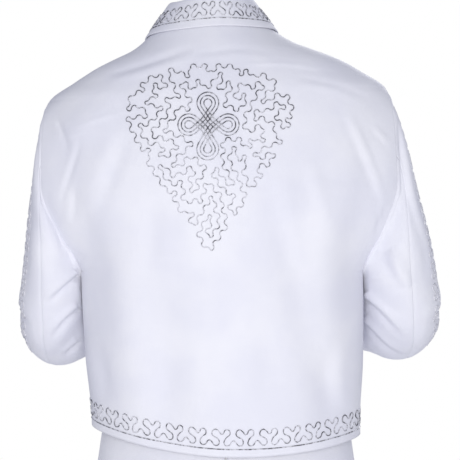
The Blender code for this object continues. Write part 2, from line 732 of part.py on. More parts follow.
def make_button(line):
    """The waistband's button, on the lapped end of its line."""
    bpy.ops.mesh.primitive_cylinder_add(
        vertices=20, radius=BUTTON_RADIUS, depth=BUTTON_HEIGHT, rotation=(np.pi / 2, 0, 0)
    )
    button = bpy.context.object
    button.name = "waistband_button"
    x = (line[0, 0] + line[-1, 0]) / 2 + BUTTON_INSET
    y = line[-1, 1] - BUTTON_LIFT - BUTTON_HEIGHT / 2
    button.location = shifted(np.array([x, y, (WAIST_SEAM_Z + WAISTBAND_TOP_Z) / 2])).tolist()
    button.data.materials.append(material("waistband_button_finish", SHELL_BUTTON))
    for holder in list(button.users_collection):
        holder.objects.unlink(button)
    bpy.data.collections[SUIT].objects.link(button)


def make_trousers():
    """The legs, waistband, fly and button."""
    half = SEAM_GAP / 2
    for side, word in ((1, "left"), (-1, "right")):
        for back, face in ((True, "back"), (False, "front")):
            grid = pull_in(leg_points(side, back), first_column=half, last_column=half)
            wall(f"trouser_{face}_{word}", shifted(grid))
    line = waistband_line()
    band = np.stack([line + [0, 0, EDGE_GAP], line + [0, 0, WAISTBAND_TOP_Z - WAIST_SEAM_Z]])
    wall("waistband", shifted(band))
    wall("fly", fly_points(), thickness=CLOTH / 2)
    make_button(line)


def main():
    """Builds every piece of the suit."""
    for old in list(bpy.data.objects):
        bpy.data.objects.remove(old)
    suit = bpy.data.collections.new(SUIT)
    bpy.context.scene.collection.children.link(suit)
    made = make_jacket()
    make_cords(*made)
    make_sleeves()
    make_trousers()


main()
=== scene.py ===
"""The looks of a white charro suit on the form of its solids: cloth shells with folds and seams, silver cord
work and stitches. Metres, +Z up; the wearer faces -Y and the wearer's left is +X."""

import logging
import random
from dataclasses import dataclass, field
from enum import Enum

import bmesh
import bpy
import numpy as np
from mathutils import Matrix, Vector
from mathutils.bvhtree import BVHTree


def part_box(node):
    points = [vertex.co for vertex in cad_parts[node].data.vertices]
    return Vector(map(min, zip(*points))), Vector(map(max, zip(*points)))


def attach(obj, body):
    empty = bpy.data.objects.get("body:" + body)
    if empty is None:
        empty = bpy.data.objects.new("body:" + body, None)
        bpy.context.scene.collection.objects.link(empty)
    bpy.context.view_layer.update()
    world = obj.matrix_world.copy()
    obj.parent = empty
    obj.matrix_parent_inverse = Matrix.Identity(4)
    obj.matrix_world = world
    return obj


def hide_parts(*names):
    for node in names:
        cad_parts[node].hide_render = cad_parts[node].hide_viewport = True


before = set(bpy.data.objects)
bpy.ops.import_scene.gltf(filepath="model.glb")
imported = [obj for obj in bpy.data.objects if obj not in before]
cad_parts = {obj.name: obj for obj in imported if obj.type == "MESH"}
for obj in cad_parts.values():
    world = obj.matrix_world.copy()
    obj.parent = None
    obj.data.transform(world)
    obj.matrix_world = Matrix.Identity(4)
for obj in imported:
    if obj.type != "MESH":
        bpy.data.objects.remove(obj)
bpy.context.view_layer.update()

Array = np.ndarray
LOG = logging.getLogger("charro_suit")
CLOTH = 0.0017


class Side(Enum):
    """The wearer's side that a piece is on, with the sign of its X."""

    LEFT = 1
    RIGHT = -1

    @property
    def word(self) -> str:
        """The side as it stands in a piece's name."""
        return self.name.lower()


class Slot(Enum):
    """The finishes that the record names."""

    CLOTH = "white_cloth"
    CORD = "silver_cord"
    SHELL = "shell_button"


class Hold(Enum):
    """How the wearer holds a sheet of cloth."""

    DRAPED = "draped"
    HUNG = "hung"
    FOLDED = "folded"


# Curves and grids


def smooth(levels: Array, values: Array, at: Array) -> Array:
    """A curve through values at levels, with no overshoot.

    Args:
        levels: Where the values are known.
        values: The value at each level.
        at: The levels to read.

    Returns:
        The value at each level that is read.
    """
    order = np.argsort(levels)
    xs = np.array(levels, float)[order]
    ys = np.array(values, float)[order]
    steps = np.diff(xs)
    slopes = np.diff(ys) / steps
    tangents = np.zeros(len(xs))
    tangents[0], tangents[-1] = slopes[0], slopes[-1]
    for i in range(1, len(xs) - 1):
        before, after = slopes[i - 1], slopes[i]
        if before * after > 0:
            first = 2 * steps[i] + steps[i - 1]
            second = steps[i] + 2 * steps[i - 1]
            tangents[i] = (first + second) / (first / before + second / after)
    at = np.clip(np.asarray(at, float), xs[0], xs[-1])
    cell = np.clip(np.searchsorted(xs, at) - 1, 0, len(steps) - 1)
    wide = steps[cell]
    s = (at - xs[cell]) / wide
    return (
        ys[cell] * (1 + 2 * s) * (1 - s) ** 2
        + tangents[cell] * wide * s * (1 - s) ** 2
        + ys[cell + 1] * s * s * (3 - 2 * s)
        + tangents[cell + 1] * wide * s * s * (s - 1)
    )


@dataclass(frozen=True)
class Table:
    """Sections of a piece by level, read as smooth curves through each named column."""

    names: tuple[str, ...]
    rows: tuple[tuple[float, ...], ...]

    def read(self, name: str, at: Array) -> Array:
        """The named column at the given levels."""
        column = self.names.index(name)
        return smooth([row[0] for row in self.rows], [row[column] for row in self.rows], at)


def unit(vectors: Array) -> Array:
    """The same directions with length one."""
    return vectors / np.maximum(np.linalg.norm(vectors, axis=-1, keepdims=True), 1e-12)


def run_of(line: Array) -> Array:
    """How far along a line of points each point lies."""
    return np.concatenate([[0], np.linalg.norm(np.diff(line, axis=0), axis=-1).cumsum()])


def along(line: Array, shares: Array) -> Array:
    """Points at the given shares of a line's length."""
    run = run_of(line)
    return np.stack([np.interp(np.asarray(shares) * run[-1], run, axis) for axis in line.T], -1)


def evened(line: Array, spacing: float, closed: bool = False, passes: int = 0) -> Array:
    """The line with evenly spaced points, softened if asked.

    Args:
        line: The line's points.
        spacing: The distance between points.
        closed: Whether the line ends where it starts.
        passes: How many times to soften the corners.

    Returns:
        The new points, with no repeated end on a closed line.
    """
    whole = np.concatenate([line, line[:1]]) if closed else line
    count = max(int(run_of(whole)[-1] / spacing), 4)
    made = along(whole, np.linspace(0, 1, count + 1))
    if closed:
        made = made[:-1]
    for _ in range(passes):
        if closed:
            made = (np.roll(made, 1, 0) + 2 * made + np.roll(made, -1, 0)) / 4
        else:
            made[1:-1] = (made[:-2] + 2 * made[1:-1] + made[2:]) / 4
    return made


def through(points: Array, steps: int, closed: bool = False) -> Array:
    """A soft curve that passes through each point.

    Args:
        points: The points, in any number of dimensions.
        steps: How many points to make between two of them.
        closed: Whether the curve ends where it starts.

    Returns:
        The curve's points.
    """
    p = np.asarray(points, float)
    if closed:
        p = np.concatenate([p[-1:], p, p[:2]])
    else:
        p = np.concatenate([2 * p[:1] - p[1:2], p, 2 * p[-1:] - p[-2:-1]])
    t = (np.arange(steps) / steps)[:, None]
    made = [
        0.5
        * (2 * b + (c - a) * t + (2 * a - 5 * b + 4 * c - d) * t**2 + (3 * b - a - 3 * c + d) * t**3)
        for a, b, c, d in zip(p[:-3], p[1:-2], p[2:-1], p[3:])
    ]
    return np.concatenate(made if closed else made + [p[-2:-1]])


def graded(count: int, first: bool = False, last: bool = False) -> Array:
    """Shares from 0 to 1 in even steps, with finer ones beside a seam.

    Args:
        count: How many even steps.
        first: Whether there is a seam at 0.
        last: Whether there is a seam at 1.

    Returns:
        The shares.
    """
    even = np.linspace(0, 1, count + 1)
    fine = np.array([0.3, 0.6, 1.4]) / count
    extra = [fine] * first + [1 - fine] * last
    return np.unique(np.concatenate([even, *extra]).round(6))


# Folds


@dataclass(frozen=True)
class Fold:
    """A broad soft fold, from a share across a panel and a level to another share and level."""

    start: float
    start_level: float
    end: float
    end_level: float
    width: float
    height: float

    def lift(self, across: Array, level: Array, length: Array) -> Array:
        """How far the fold pushes the cloth out.

        Args:
            across: Each point's share across the panel.
            level: Each point's level.
            length: The panel's length across at that level.

        Returns:
            The height at each point.
        """
        run = (self.end - self.start) * length
        rise = self.end_level - self.start_level
        dx = (across - self.start) * length
        dz = level - self.start_level
        reach = np.hypot(run, rise)
        share = np.clip((dx * run + dz * rise) / reach**2, 0, 1)
        off = (dx * rise - dz * run) / reach
        return self.height * np.sin(np.pi * share) ** 0.7 * np.exp(-((off / self.width) ** 2))


@dataclass(frozen=True)
class Crease:
    """A crease given as a line seen from one side of the suit: a trough with a soft swell beside
    it."""

    line: tuple[tuple[float, float], ...]
    width: float
    depth: float
    swell: float = 0.6
    fade_in: float = 0.3
    fade_out: float = 0.5
    facing: tuple[float, float, float] = (0, 1, 0)

    def lift(self, points: Array, normals: Array) -> Array:
        """How far the crease moves the cloth out, less than 0 in its trough.

        Args:
            points: The cloth's points.
            normals: The directions square to the cloth.

        Returns:
            The height at each point.
        """
        facing = np.array(self.facing)
        side = points[..., 1] if abs(facing[0]) > 0.5 else points[..., 0]
        spot = np.stack([side, points[..., 2]], -1)
        path = through(np.array(self.line), 8)
        run = run_of(path)
        best = np.full(spot.shape[:-1], 1e9)
        signed = np.zeros(spot.shape[:-1])
        share = np.zeros(spot.shape[:-1])
        for i in range(len(path) - 1):
            way = path[i + 1] - path[i]
            size = max(np.linalg.norm(way), 1e-9)
            off = spot - path[i]
            t = np.clip((off @ way) / size**2, 0, 1)
            gap = np.linalg.norm(off - t[..., None] * way, axis=-1)
            turn = (way[0] * off[..., 1] - way[1] * off[..., 0]) / size
            near = gap < best
            best = np.where(near, gap, best)
            signed = np.where(near, np.sign(turn) * gap, signed)
            share = np.where(near, (run[i] + t * size) / run[-1], share)
        fade = np.clip(share / max(self.fade_in, 1e-3), 0, 1) * np.clip(
            (1 - share) / max(self.fade_out, 1e-3), 0, 1
        )
        fade = np.sqrt(fade)
        trough = -np.exp(-((signed / self.width) ** 2))
        crest = np.exp(-(((signed - 1.6 * self.width) / (1.25 * self.width)) ** 2))
        seen = np.clip((normals @ facing + 0.05) / 0.35, 0, 1)
        return self.depth * fade * seen * (trough + self.swell * crest)


def mirrored(creases: tuple[Crease, ...], shift: float) -> list[Crease]:
    """The same kind of creases on the wearer's front, moved a little so that they aren't copies.

    Args:
        creases: Creases that are seen from the back.
        shift: How far to move them down.

    Returns:
        Creases that are seen from the front.
    """
    made = []
    for i, crease in enumerate(creases):
        slide = 0.006 * np.sin(2.3 * i + 1)
        line = tuple((x + slide, z - shift + 0.5 * slide) for x, z in crease.line)
        size = 0.85 + 0.25 * np.sin(1.7 * i)
        made.append(Crease(line, crease.width * size, crease.depth * size, crease.swell, facing=(0, -1, 0)))
    return made


def unevenness(points: Array, size: float) -> Array:
    """The slow waver of worn cloth, from a few crossing waves.

    Args:
        points: The cloth's points.
        size: The most that it moves.

    Returns:
        The height at each point.
    """
    waves = (
        (31, 9, 23, 0.3), (-17, 12, 41, 1.9), (47, -15, -19, 4.2), (12, 33, 67, 2.6), (-58, 21, 35, 5.3),
        (74, 40, -52, 0.9),
    )
    height = sum(np.sin(points @ np.array(w[:3]) + w[3]) for w in waves)
    return size * height / 3.5


# The forms of the garments


@dataclass(frozen=True)
class Posture:
    """How the wearer stands: the left shoulder drops, the left hem rides up, the hips lie to the right."""

    tilt_at_neck: float = -0.052
    tilt_at_hem: float = 0.034
    tilt_of_arms: float = -0.014
    hip_shift: float = 0.026
    neck_shift: float = 0.0068
    hem_side: float = -0.534

    def stand(self, points: Array, arm: Array | float = 0.0) -> Array:
        """The points as the wearer stands.

        Args:
            points: Points of the jacket, on an upright wearer.
            arm: How much of the arms' own tilt they take, from 0 to 1.

        Returns:
            The moved points.
        """
        x, y, z = np.moveaxis(points, -1, 0)
        down = np.clip(z / self.hem_side, -0.2, 1)
        tilt = self.tilt_at_neck + (self.tilt_at_hem - self.tilt_at_neck) * down
        tilt = tilt + (self.tilt_of_arms - tilt) * arm
        lean = self.neck_shift * np.clip((z + 0.045) / 0.055, 0, 1)
        shift = self.hip_shift * np.maximum(z, self.hem_side) + lean
        return np.stack([x + shift, y, z + x * tilt], -1)

    def hips(self, points: Array) -> Array:
        """Points of the trousers, moved sideways with the hips."""
        return points + np.array([self.hip_shift * self.hem_side, 0, 0])


SECTION = ("level", "half_width", "edge_y", "centre_y", "wrap")
BACK = Table(
    SECTION,
    (
        (0.03, 0.06, 0.0, 0.054, 90), (0.014, 0.076, 0.001, 0.062, 90), (0.0, 0.09, 0.002, 0.07, 90),
        (-0.0126, 0.1085, 0.003, 0.077, 90), (-0.025, 0.137, 0.004, 0.083, 90),
        (-0.038, 0.166, 0.004, 0.089, 90), (-0.055, 0.195, 0.003, 0.096, 88), (-0.08, 0.23, 0.0, 0.105, 82),
        (-0.13, 0.238, 0.0, 0.116, 68), (-0.2, 0.239, 0.0, 0.124, 60), (-0.265, 0.218, 0.0, 0.126, 66),
        (-0.318, 0.1925, 0.002, 0.124, 86), (-0.38, 0.1905, 0.004, 0.121, 90),
        (-0.44, 0.188, 0.008, 0.119, 90), (-0.526, 0.182, 0.008, 0.12, 90),
        (-0.57, 0.183, 0.008, 0.121, 90),
    ),
)
FRONT = Table(
    SECTION,
    (
        (0.03, 0.06, 0.0, -0.026, 90), (0.014, 0.076, 0.001, -0.034, 90), (0.0, 0.09, 0.002, -0.042, 90),
        (-0.0126, 0.1085, 0.003, -0.049, 90), (-0.025, 0.137, 0.004, -0.054, 90),
        (-0.038, 0.166, 0.004, -0.06, 90), (-0.055, 0.195, 0.003, -0.07, 88),
        (-0.08, 0.23, 0.0, -0.083, 82), (-0.13, 0.212, 0.0, -0.101, 70), (-0.2, 0.19, 0.0, -0.118, 64),
        (-0.265, 0.185, 0.0, -0.126, 68), (-0.318, 0.1925, 0.002, -0.127, 86),
        (-0.38, 0.1905, 0.004, -0.125, 90), (-0.44, 0.188, 0.008, -0.123, 90),
        (-0.526, 0.182, 0.008, -0.122, 90), (-0.57, 0.183, 0.008, -0.122, 90),
    ),
)
COLLAR = Table(
    ("turn", "height", "lean", "drop"),
    (
        (0, 0.03, 0.009, 0.012), (60, 0.034, 0.018, 0.014), (90, 0.039, 0.022, 0.016),
        (130, 0.031, 0.012, 0.023), (180, 0.023, 0.003, 0.028),
    ),
)
TROUSER = Table(
    ("level", "outer", "centre", "inner", "back_y", "front_y", "side_y", "crotch"),
    (
        (-0.47, 0.153, 0.0004, 0.0004, 0.095, -0.095, 0.004, 0),
        (-0.525, 0.166, 0.0004, 0.0004, 0.101, -0.099, 0.006, 0),
        (-0.565, 0.172, 0.006, 0.0006, 0.107, -0.1, 0.008, 12),
        (-0.61, 0.178, 0.026, 0.001, 0.121, -0.101, 0.01, 34),
        (-0.65, 0.181, 0.05, 0.0013, 0.124, -0.1, 0.012, 58),
        (-0.68, 0.1815, 0.078, 0.0015, 0.117, -0.096, 0.012, 78),
        (-0.692, 0.1815, 0.088, 0.0017, 0.112, -0.094, 0.012, 90),
        (-0.76, 0.18, 0.094, 0.01, 0.098, -0.083, 0.01, 90),
        (-0.88, 0.174, 0.1, 0.026, 0.082, -0.072, 0.006, 90),
        (-1.0, 0.17, 0.106, 0.042, 0.07, -0.064, 0.002, 90),
        (-1.14, 0.168, 0.109, 0.05, 0.069, -0.056, 0.006, 90),
        (-1.3, 0.168, 0.1125, 0.057, 0.066, -0.052, 0.006, 90),
        (-1.465, 0.17, 0.117, 0.064, 0.062, -0.054, 0.003, 90),
    ),
)
# The line down the middle of a sleeve: x, y, z, and the half widths across the arm's bend and along it
SLEEVE_LINE = {
    Side.LEFT: (
        (0.2338, -0.012, -0.326, 0.0407, 0.06), (0.236, -0.029, -0.374, 0.044, 0.056),
        (0.229, -0.077, -0.399, 0.047, 0.05), (0.192, -0.13, -0.39, 0.045, 0.045),
        (0.14, -0.192, -0.378, 0.043, 0.043), (0.092, -0.254, -0.366, 0.04, 0.04),
    ),
    Side.RIGHT: (
        (0.2432, -0.012, -0.326, 0.0498, 0.06), (0.247, -0.029, -0.373, 0.052, 0.057),
        (0.2405, -0.077, -0.397, 0.05, 0.0505), (0.199, -0.13, -0.39, 0.046, 0.046),
        (0.143, -0.192, -0.378, 0.043, 0.043), (0.092, -0.254, -0.366, 0.04, 0.04),
    ),
}


@dataclass
class Cloth:
    """A sheet of cloth as rows of points. rows_out names the rows that tell which side is outward."""

    points: Array
    centre: Array | float = 0.0
    rows_out: slice = field(default_factory=lambda: slice(None))

    @property
    def normals(self) -> Array:
        """The directions square to the cloth, on its outer side."""
        raw = unit(np.cross(np.gradient(self.points, axis=1), np.gradient(self.points, axis=0)))
        away = np.sum(raw * (self.points - self.centre), -1)[self.rows_out]
        return raw * (1 if away.sum() > 0 else -1)

    def raised(self, height: Array) -> "Cloth":
        """The sheet with each point moved out by a height."""
        moved = self.points + self.normals * height[..., None]
        return Cloth(moved, self.centre, self.rows_out)

    def from_row(self, row: int) -> Array:
        """How far each point lies from a row, along its column."""
        gaps = np.linalg.norm(np.diff(self.points, axis=0), axis=-1)
        run = np.concatenate([np.zeros((1, gaps.shape[1])), gaps.cumsum(0)])
        return np.abs(run - run[row])

    def from_column(self, column: int) -> Array:
        """How far each point lies from a column, along its row."""
        gaps = np.linalg.norm(np.diff(self.points, axis=1), axis=-1)
        run = np.concatenate([np.zeros((gaps.shape[0], 1)), gaps.cumsum(1)], 1)
        return np.abs(run - run[:, column : column + 1 or None][:, :1])

    def grooved(self, column: int, depth: float = 0.0011, where: Array | float = 1.0) -> Array:
        """The heights of a seam's groove along a column.

        Args:
            column: The seam's column.
            depth: How deep the groove is.
            where: How much of it each row has.

        Returns:
            The height at each point, less than 0.
        """
        off = self.from_column(column)
        groove = -depth * np.exp(-((off / 0.0024) ** 2)) + 0.35 * depth * np.exp(
            -(((off - 0.006) / 0.003) ** 2)
        )
        return groove * np.broadcast_to(np.asarray(where, float).reshape(-1, 1), off.shape)

    def creased(self, creases: list[Crease], share: Array | float = 1.0, waver: float = 0.0006) -> "Cloth":
        """The sheet with creases and a slow waver worked in.

        Args:
            creases: The creases that may cross this sheet.
            share: How much of them each point has, 0 along an edge that meets another sheet.
            waver: The size of the slow waver.

        Returns:
            The creased sheet.
        """
        normals = self.normals
        height = unevenness(self.points, waver)
        for crease in creases:
            height = height + crease.lift(self.points, normals)
        return self.raised(height * share)


@dataclass(frozen=True)
class JacketForm:
    """The jacket's body: its levels, armholes and front opening."""

    posture: Posture = Posture()
    neck_side: float = 0.014
    nape: float = 0.02
    throat: float = -0.088
    tip: float = -0.08
    underarm: float = -0.318
    hem_side: float = -0.534
    hem_back: float = -0.562
    hem_front: float = -0.552
    hem_bend: float = 1.3
    throat_bend: float = 1.7
    armhole_back: float = 0.05
    armhole_front: float = -0.056
    opening_top: float = 0.008
    opening_hem: float = 0.024
    soft_reach: float = 1.2
    edge_fade: float = 0.1
    rows_below: int = 70
    rows_beside: int = 72
    rows_above: int = 50
    folds_back: tuple[Fold, ...] = (
        Fold(0.6, -0.2, 0.5, -0.56, 0.032, 0.0055), Fold(0.34, -0.3, 0.3, -0.58, 0.034, -0.007),
        Fold(-0.62, -0.2, -0.46, -0.56, 0.034, 0.006), Fold(-0.36, -0.24, -0.62, -0.54, 0.03, -0.008),
        Fold(0.84, -0.13, 0.74, -0.31, 0.024, -0.003), Fold(-0.84, -0.12, -0.74, -0.32, 0.024, -0.003),
    )
    folds_front: tuple[Fold, ...] = (
        Fold(0.8, -0.15, 0.55, -0.33, 0.026, -0.005), Fold(0.6, -0.26, 0.5, -0.56, 0.032, 0.005),
    )

    def armhole_share(self, across: Array, level: Array) -> Array:
        """How far the armhole spreads the cloth: round at its edge, and fading softly away from it.

        Args:
            across: Each point's share across the panel.
            level: Each point's level.

        Returns:
            Shares, 0 beyond the armhole's ends and 1 half way between them.
        """
        middle, half = (self.tip + self.underarm) / 2, (self.tip - self.underarm) / 2
        off = (level - middle) / half
        exact = np.sqrt(np.clip(1 - off**2, 0, 1))
        soft = np.clip(1 - (off / self.soft_reach) ** 2, 0, 1) ** 1.5
        near = np.abs(across) ** 8
        return exact * near + soft * (1 - near)

    def armhole_level(self, turn: Array) -> Array:
        """The level round the armhole: the shoulder tip at 0 degrees and the underarm at 180."""
        middle, half = (self.tip + self.underarm) / 2, (self.tip - self.underarm) / 2
        return middle + half * np.cos(np.radians(turn))

    def section(self, table: Table, spread: float, across: Array, level: Array) -> tuple[Array, Array]:
        """Points of the body on its sections.

        Args:
            table: The back's or the front's sections.
            spread: How far the armhole's edge spreads.
            across: Each point's share of its section's length, less than 0 on the right.
            level: Each point's level.

        Returns:
            The points, and the length of each one's section.
        """
        level, across = np.broadcast_arrays(np.asarray(level, float), across)
        width = table.read("half_width", level)[..., None]
        centre = table.read("centre_y", level)[..., None]
        edge = (table.read("edge_y", level) + spread * self.armhole_share(across, level))[..., None]
        wrap = np.radians(table.read("wrap", level))[..., None]

        def spot(turn: Array) -> tuple[Array, Array]:
            """The x and y at a turn round the section."""
            rise = (1 - np.cos(turn)) / (1 - np.cos(wrap))
            return width * np.sin(turn) / np.sin(wrap), centre + (edge - centre) * rise

        turns = np.linspace(0, 1, 49) * wrap
        x, y = spot(turns)
        gaps = np.hypot(np.diff(x, axis=-1), np.diff(y, axis=-1))
        run = np.concatenate([np.zeros_like(width), gaps.cumsum(-1)], -1)
        want = np.abs(across)[..., None] * run[..., -1:]
        cell = np.clip((run <= want).sum(-1, keepdims=True) - 1, 0, 47)
        low = np.take_along_axis(run, cell, -1)
        high = np.take_along_axis(run, cell + 1, -1)
        turn = (cell + (want - low) / (high - low)) / 48 * wrap
        x, y = spot(turn)
        return np.stack([np.sign(across) * x[..., 0], y[..., 0], level], -1), run[..., -1]

    def levels(self, across: Array) -> Array:
        """The levels of a panel's rows, from the hem up: even inside it, and crowded at the armhole's
        ends at its edge."""
        side = np.linspace(self.hem_side, self.underarm, self.rows_below + 1)[:-1]
        hole = self.armhole_level(np.linspace(180, 0, self.rows_beside + 1))[:-1]
        even = np.linspace(self.underarm, self.tip, self.rows_beside + 1)[:-1]
        top = np.linspace(self.tip, self.neck_side, self.rows_above + 1)
        near = np.abs(across) ** 6
        crowded = np.concatenate([side, hole, top])[:, None]
        return crowded * near + np.concatenate([side, even, top])[:, None] * (1 - near)

    def slanted(self, across: Array, hem: float, neck: float, bend: float) -> Array:
        """A panel's levels, drawn to the curves of the hem and the neckline.

        Args:
            across: Shares across the panel.
            hem: The hem's level at the centre line.
            neck: The neckline's level there.
            bend: How fast the neckline drops.

        Returns:
            The level at each point.
        """
        edge = self.levels(across)
        to_hem = np.clip((self.underarm - edge) / (self.underarm - self.hem_side), 0, 1)
        to_neck = np.clip((edge - self.underarm) / (self.neck_side - self.underarm), 0, 1) ** 1.5
        drop = (hem - self.hem_side) * np.cos(np.abs(across) * np.pi / 2) ** self.hem_bend
        rise = (neck - self.neck_side) * (1 - np.abs(across)) ** bend
        return edge + drop * to_hem + rise * to_neck

    def seam_rows(self) -> Array:
        """How much of a seam's groove each row has at the panel's edge: none beside the armhole."""
        rows = np.arange(self.rows_below + self.rows_beside + self.rows_above + 1)
        below = np.clip((self.rows_below - rows) / 4, 0, 1)
        above = np.clip((rows - self.rows_below - self.rows_beside) / 4, 0, 1)
        return below + above

    def panel(self, table: Table, spread: float, folds: list[Fold], across: Array, level: Array) -> Cloth:
        """A body panel with its broad folds, as the wearer stands.

        Args:
            table: The panel's sections.
            spread: How far its armhole's edge spreads.
            folds: Its broad folds.
            across: Shares across the panel.
            level: Levels.

        Returns:
            The sheet.
        """
        points, length = self.section(table, spread, across, level)
        flat = Cloth(points, points * [0, 0, 1])
        height = sum(fold.lift(across, level, length) for fold in folds) * self.inside(across)
        points = self.posture.stand(flat.raised(height).points)
        return Cloth(points, points * [0, 0, 1])

    def inside(self, across: Array) -> Array:
        """How much of its folds a panel has, fading to none at its sides, where it meets its neighbours."""
        return np.clip((1 - np.abs(across)) / self.edge_fade, 0, 1) ** 0.8

    def back(self, creases: list[Crease]) -> Cloth:
        """The back, from its right side to its left and from the hem up."""
        half = graded(84, last=True)
        across = np.concatenate([-half[:0:-1], half])[None, :]
        level = self.slanted(across, self.hem_back, self.nape, 1.0)
        made = self.panel(BACK, self.armhole_back, list(self.folds_back), across, level)
        seams = made.grooved(0, where=self.seam_rows()) + made.grooved(-1, where=self.seam_rows())
        return made.creased(creases, self.inside(across)).raised(seams)

    def front(self, side: Side, creases: list[Crease]) -> Cloth:
        """A front, from its open edge to its side and from the hem up."""
        share = graded(68, last=True)[None, :]
        level = self.slanted(share, self.hem_front, self.throat, self.throat_bend)
        down = np.clip((self.throat - level) / (self.throat - self.hem_front), 0, 1)
        gap = self.opening_top + (self.opening_hem - self.opening_top) * down
        length = self.section(FRONT, self.armhole_front, share, level)[1]
        across = side.value * (gap / length + share * (1 - gap / length))
        folds = [
            Fold(side.value * f.start, f.start_level, side.value * f.end, f.end_level, f.width, f.height)
            for f in self.folds_front
        ]
        made = self.panel(FRONT, self.armhole_front, folds, across, level)
        return made.creased(creases, self.inside(across)).raised(made.grooved(-1, where=self.seam_rows()))

    def armhole(self, turns: Array) -> tuple[Array, Array]:
        """The left armhole's edge.

        Args:
            turns: Degrees round it, from the shoulder tip towards the back.

        Returns:
            The edge's points, and the directions that the panels run out in.
        """
        level = self.armhole_level(turns)[:, None]
        near = np.array([[0.97, 1.0]])
        behind, _ = self.section(BACK, self.armhole_back, near, level)
        before, _ = self.section(FRONT, self.armhole_front, near, level)
        pair = np.where((np.sin(np.radians(turns)) >= 0)[:, None, None], behind, before)
        return pair[:, 1], unit(pair[:, 1] - pair[:, 0])


@dataclass(frozen=True)
class SleeveForm:
    """A set-in sleeve of two pieces, bent at the elbow, from the armhole to the cuff."""

    jacket: JacketForm
    side: Side
    back_seam: float = 76
    front_seam: float = -108
    cap_rows: int = 34
    arm_rows: int = 132
    end_pull: float = 0.95
    seam_depth: float = 0.0004
    girth: float = 0.3
    folds: tuple[Fold, ...] = (
        Fold(0.83, 0.01, 0.33, 0.05, 0.016, -0.0045), Fold(0.92, 0.045, 0.39, 0.085, 0.016, -0.0045),
        Fold(-0.83, 0.05, -0.33, 0.08, 0.018, -0.004), Fold(0.67, 0.13, 0.22, 0.15, 0.02, -0.003),
    )

    def turns(self) -> tuple[Array, int]:
        """The degrees round the sleeve of its columns, and the column where the under piece starts."""
        top = self.front_seam + (self.back_seam - self.front_seam) * graded(46, True, True)
        under = self.back_seam + (self.front_seam + 360 - self.back_seam) * graded(44, True, True)
        return np.concatenate([top, under[1:]]), len(top) - 1

    def rings(self) -> tuple[Array, ...]:
        """The line down the arm, its outer and back directions, its half widths and how far each ring
        lies."""
        spots = np.array(SLEEVE_LINE[self.side])
        run = run_of(spots[:, :3])
        at = np.linspace(0, run[-1], self.arm_rows + 1)
        lines = [smooth(run, spots[:, i], at) for i in range(5)]
        middle = np.stack(lines[:3], -1)
        ease = np.clip(1 - at / (run[-1] / 15), 0, 1)[:, None]
        downward = unit(unit(np.gradient(middle, axis=0)) + ease * np.array([0, 0.1, -0.6]))
        outer = unit(np.array([1.0, 0, 0]) - downward * downward[:, :1])
        return middle, outer, np.cross(outer, downward), lines[3], lines[4], at

    def whole(self, creases: list[Crease]) -> Cloth:
        """The whole sleeve as the wearer stands, from the armhole down and round from its front seam."""
        turns, split = self.turns()
        angle = np.radians(turns)
        middle, outer, back, across, depth, at = self.rings()
        arm = (
            middle[:, None]
            + outer[:, None] * (across[:, None] * np.cos(angle))[..., None]
            + back[:, None] * (depth[:, None] * np.sin(angle))[..., None]
        )
        edge, leave = self.jacket.armhole(turns)
        under = np.clip((-np.cos(angle) - 0.4) / 0.6, 0, 1)[:, None]
        fall = 0.35 + 0.55 * np.maximum(np.cos(angle), 0)[:, None]
        start_way = unit(leave * (1 - under) + np.array([0, 0, -1.0]) * (fall + under))
        end_way = unit(arm[1] - arm[0])
        reach = np.linalg.norm(arm[0] - edge, axis=-1, keepdims=True)
        t = (np.linspace(0, 1, self.cap_rows + 1)[:-1] ** 1.15)[:, None, None]
        pull = 0.27 if self.side is Side.LEFT else 0.43
        cap = (
            edge * (1 + 2 * t) * (1 - t) ** 2
            + start_way * reach * pull * t * (1 - t) ** 2
            + arm[0] * t * t * (3 - 2 * t)
            + end_way * reach * self.end_pull * t * t * (t - 1)
        )
        points = np.concatenate([cap, arm])
        runs = np.concatenate([-(1 - t[:, 0, 0]) * 0.12, at])[:, None]
        centre = np.concatenate([np.repeat(middle[:1], self.cap_rows, 0), middle])[:, None]
        wrapped = (turns[None] + 180) % 360 - 180
        lift = sum(fold.lift(wrapped / 180, runs, self.girth / 2) for fold in self.folds)
        rows = np.concatenate([np.linspace(0, 1, self.cap_rows + 1)[:-1], np.ones(self.arm_rows + 1)])
        start = np.clip(np.linalg.norm(points - edge, axis=-1) / 0.02, 0, 1)
        made = Cloth(points, centre).raised(lift * start)
        mirror = np.array([self.side.value, 1, 1])
        share = rows[:, None]
        points = self.jacket.posture.stand(made.points * mirror, share)
        made = Cloth(points, self.jacket.posture.stand(centre * mirror, share))
        off = made.from_row(0)
        made = made.creased(creases, np.clip(off / 0.014, 0, 1))
        pucker = 0.0007 * np.sin(np.radians(wrapped) * 17 + 2 * np.sin(np.radians(wrapped) * 3)) * np.exp(
            -(((off - 0.012) / 0.012) ** 2)
        )
        ridge = 0.001 * np.exp(-(((off - 0.0055) / 0.0035) ** 2)) + pucker * np.clip(off / 0.006, 0, 1)
        seams = sum(made.grooved(column, self.seam_depth) for column in (0, -1, split))
        fade = np.clip(off / 0.01, 0, 1)
        return made.raised(ridge + seams * fade)


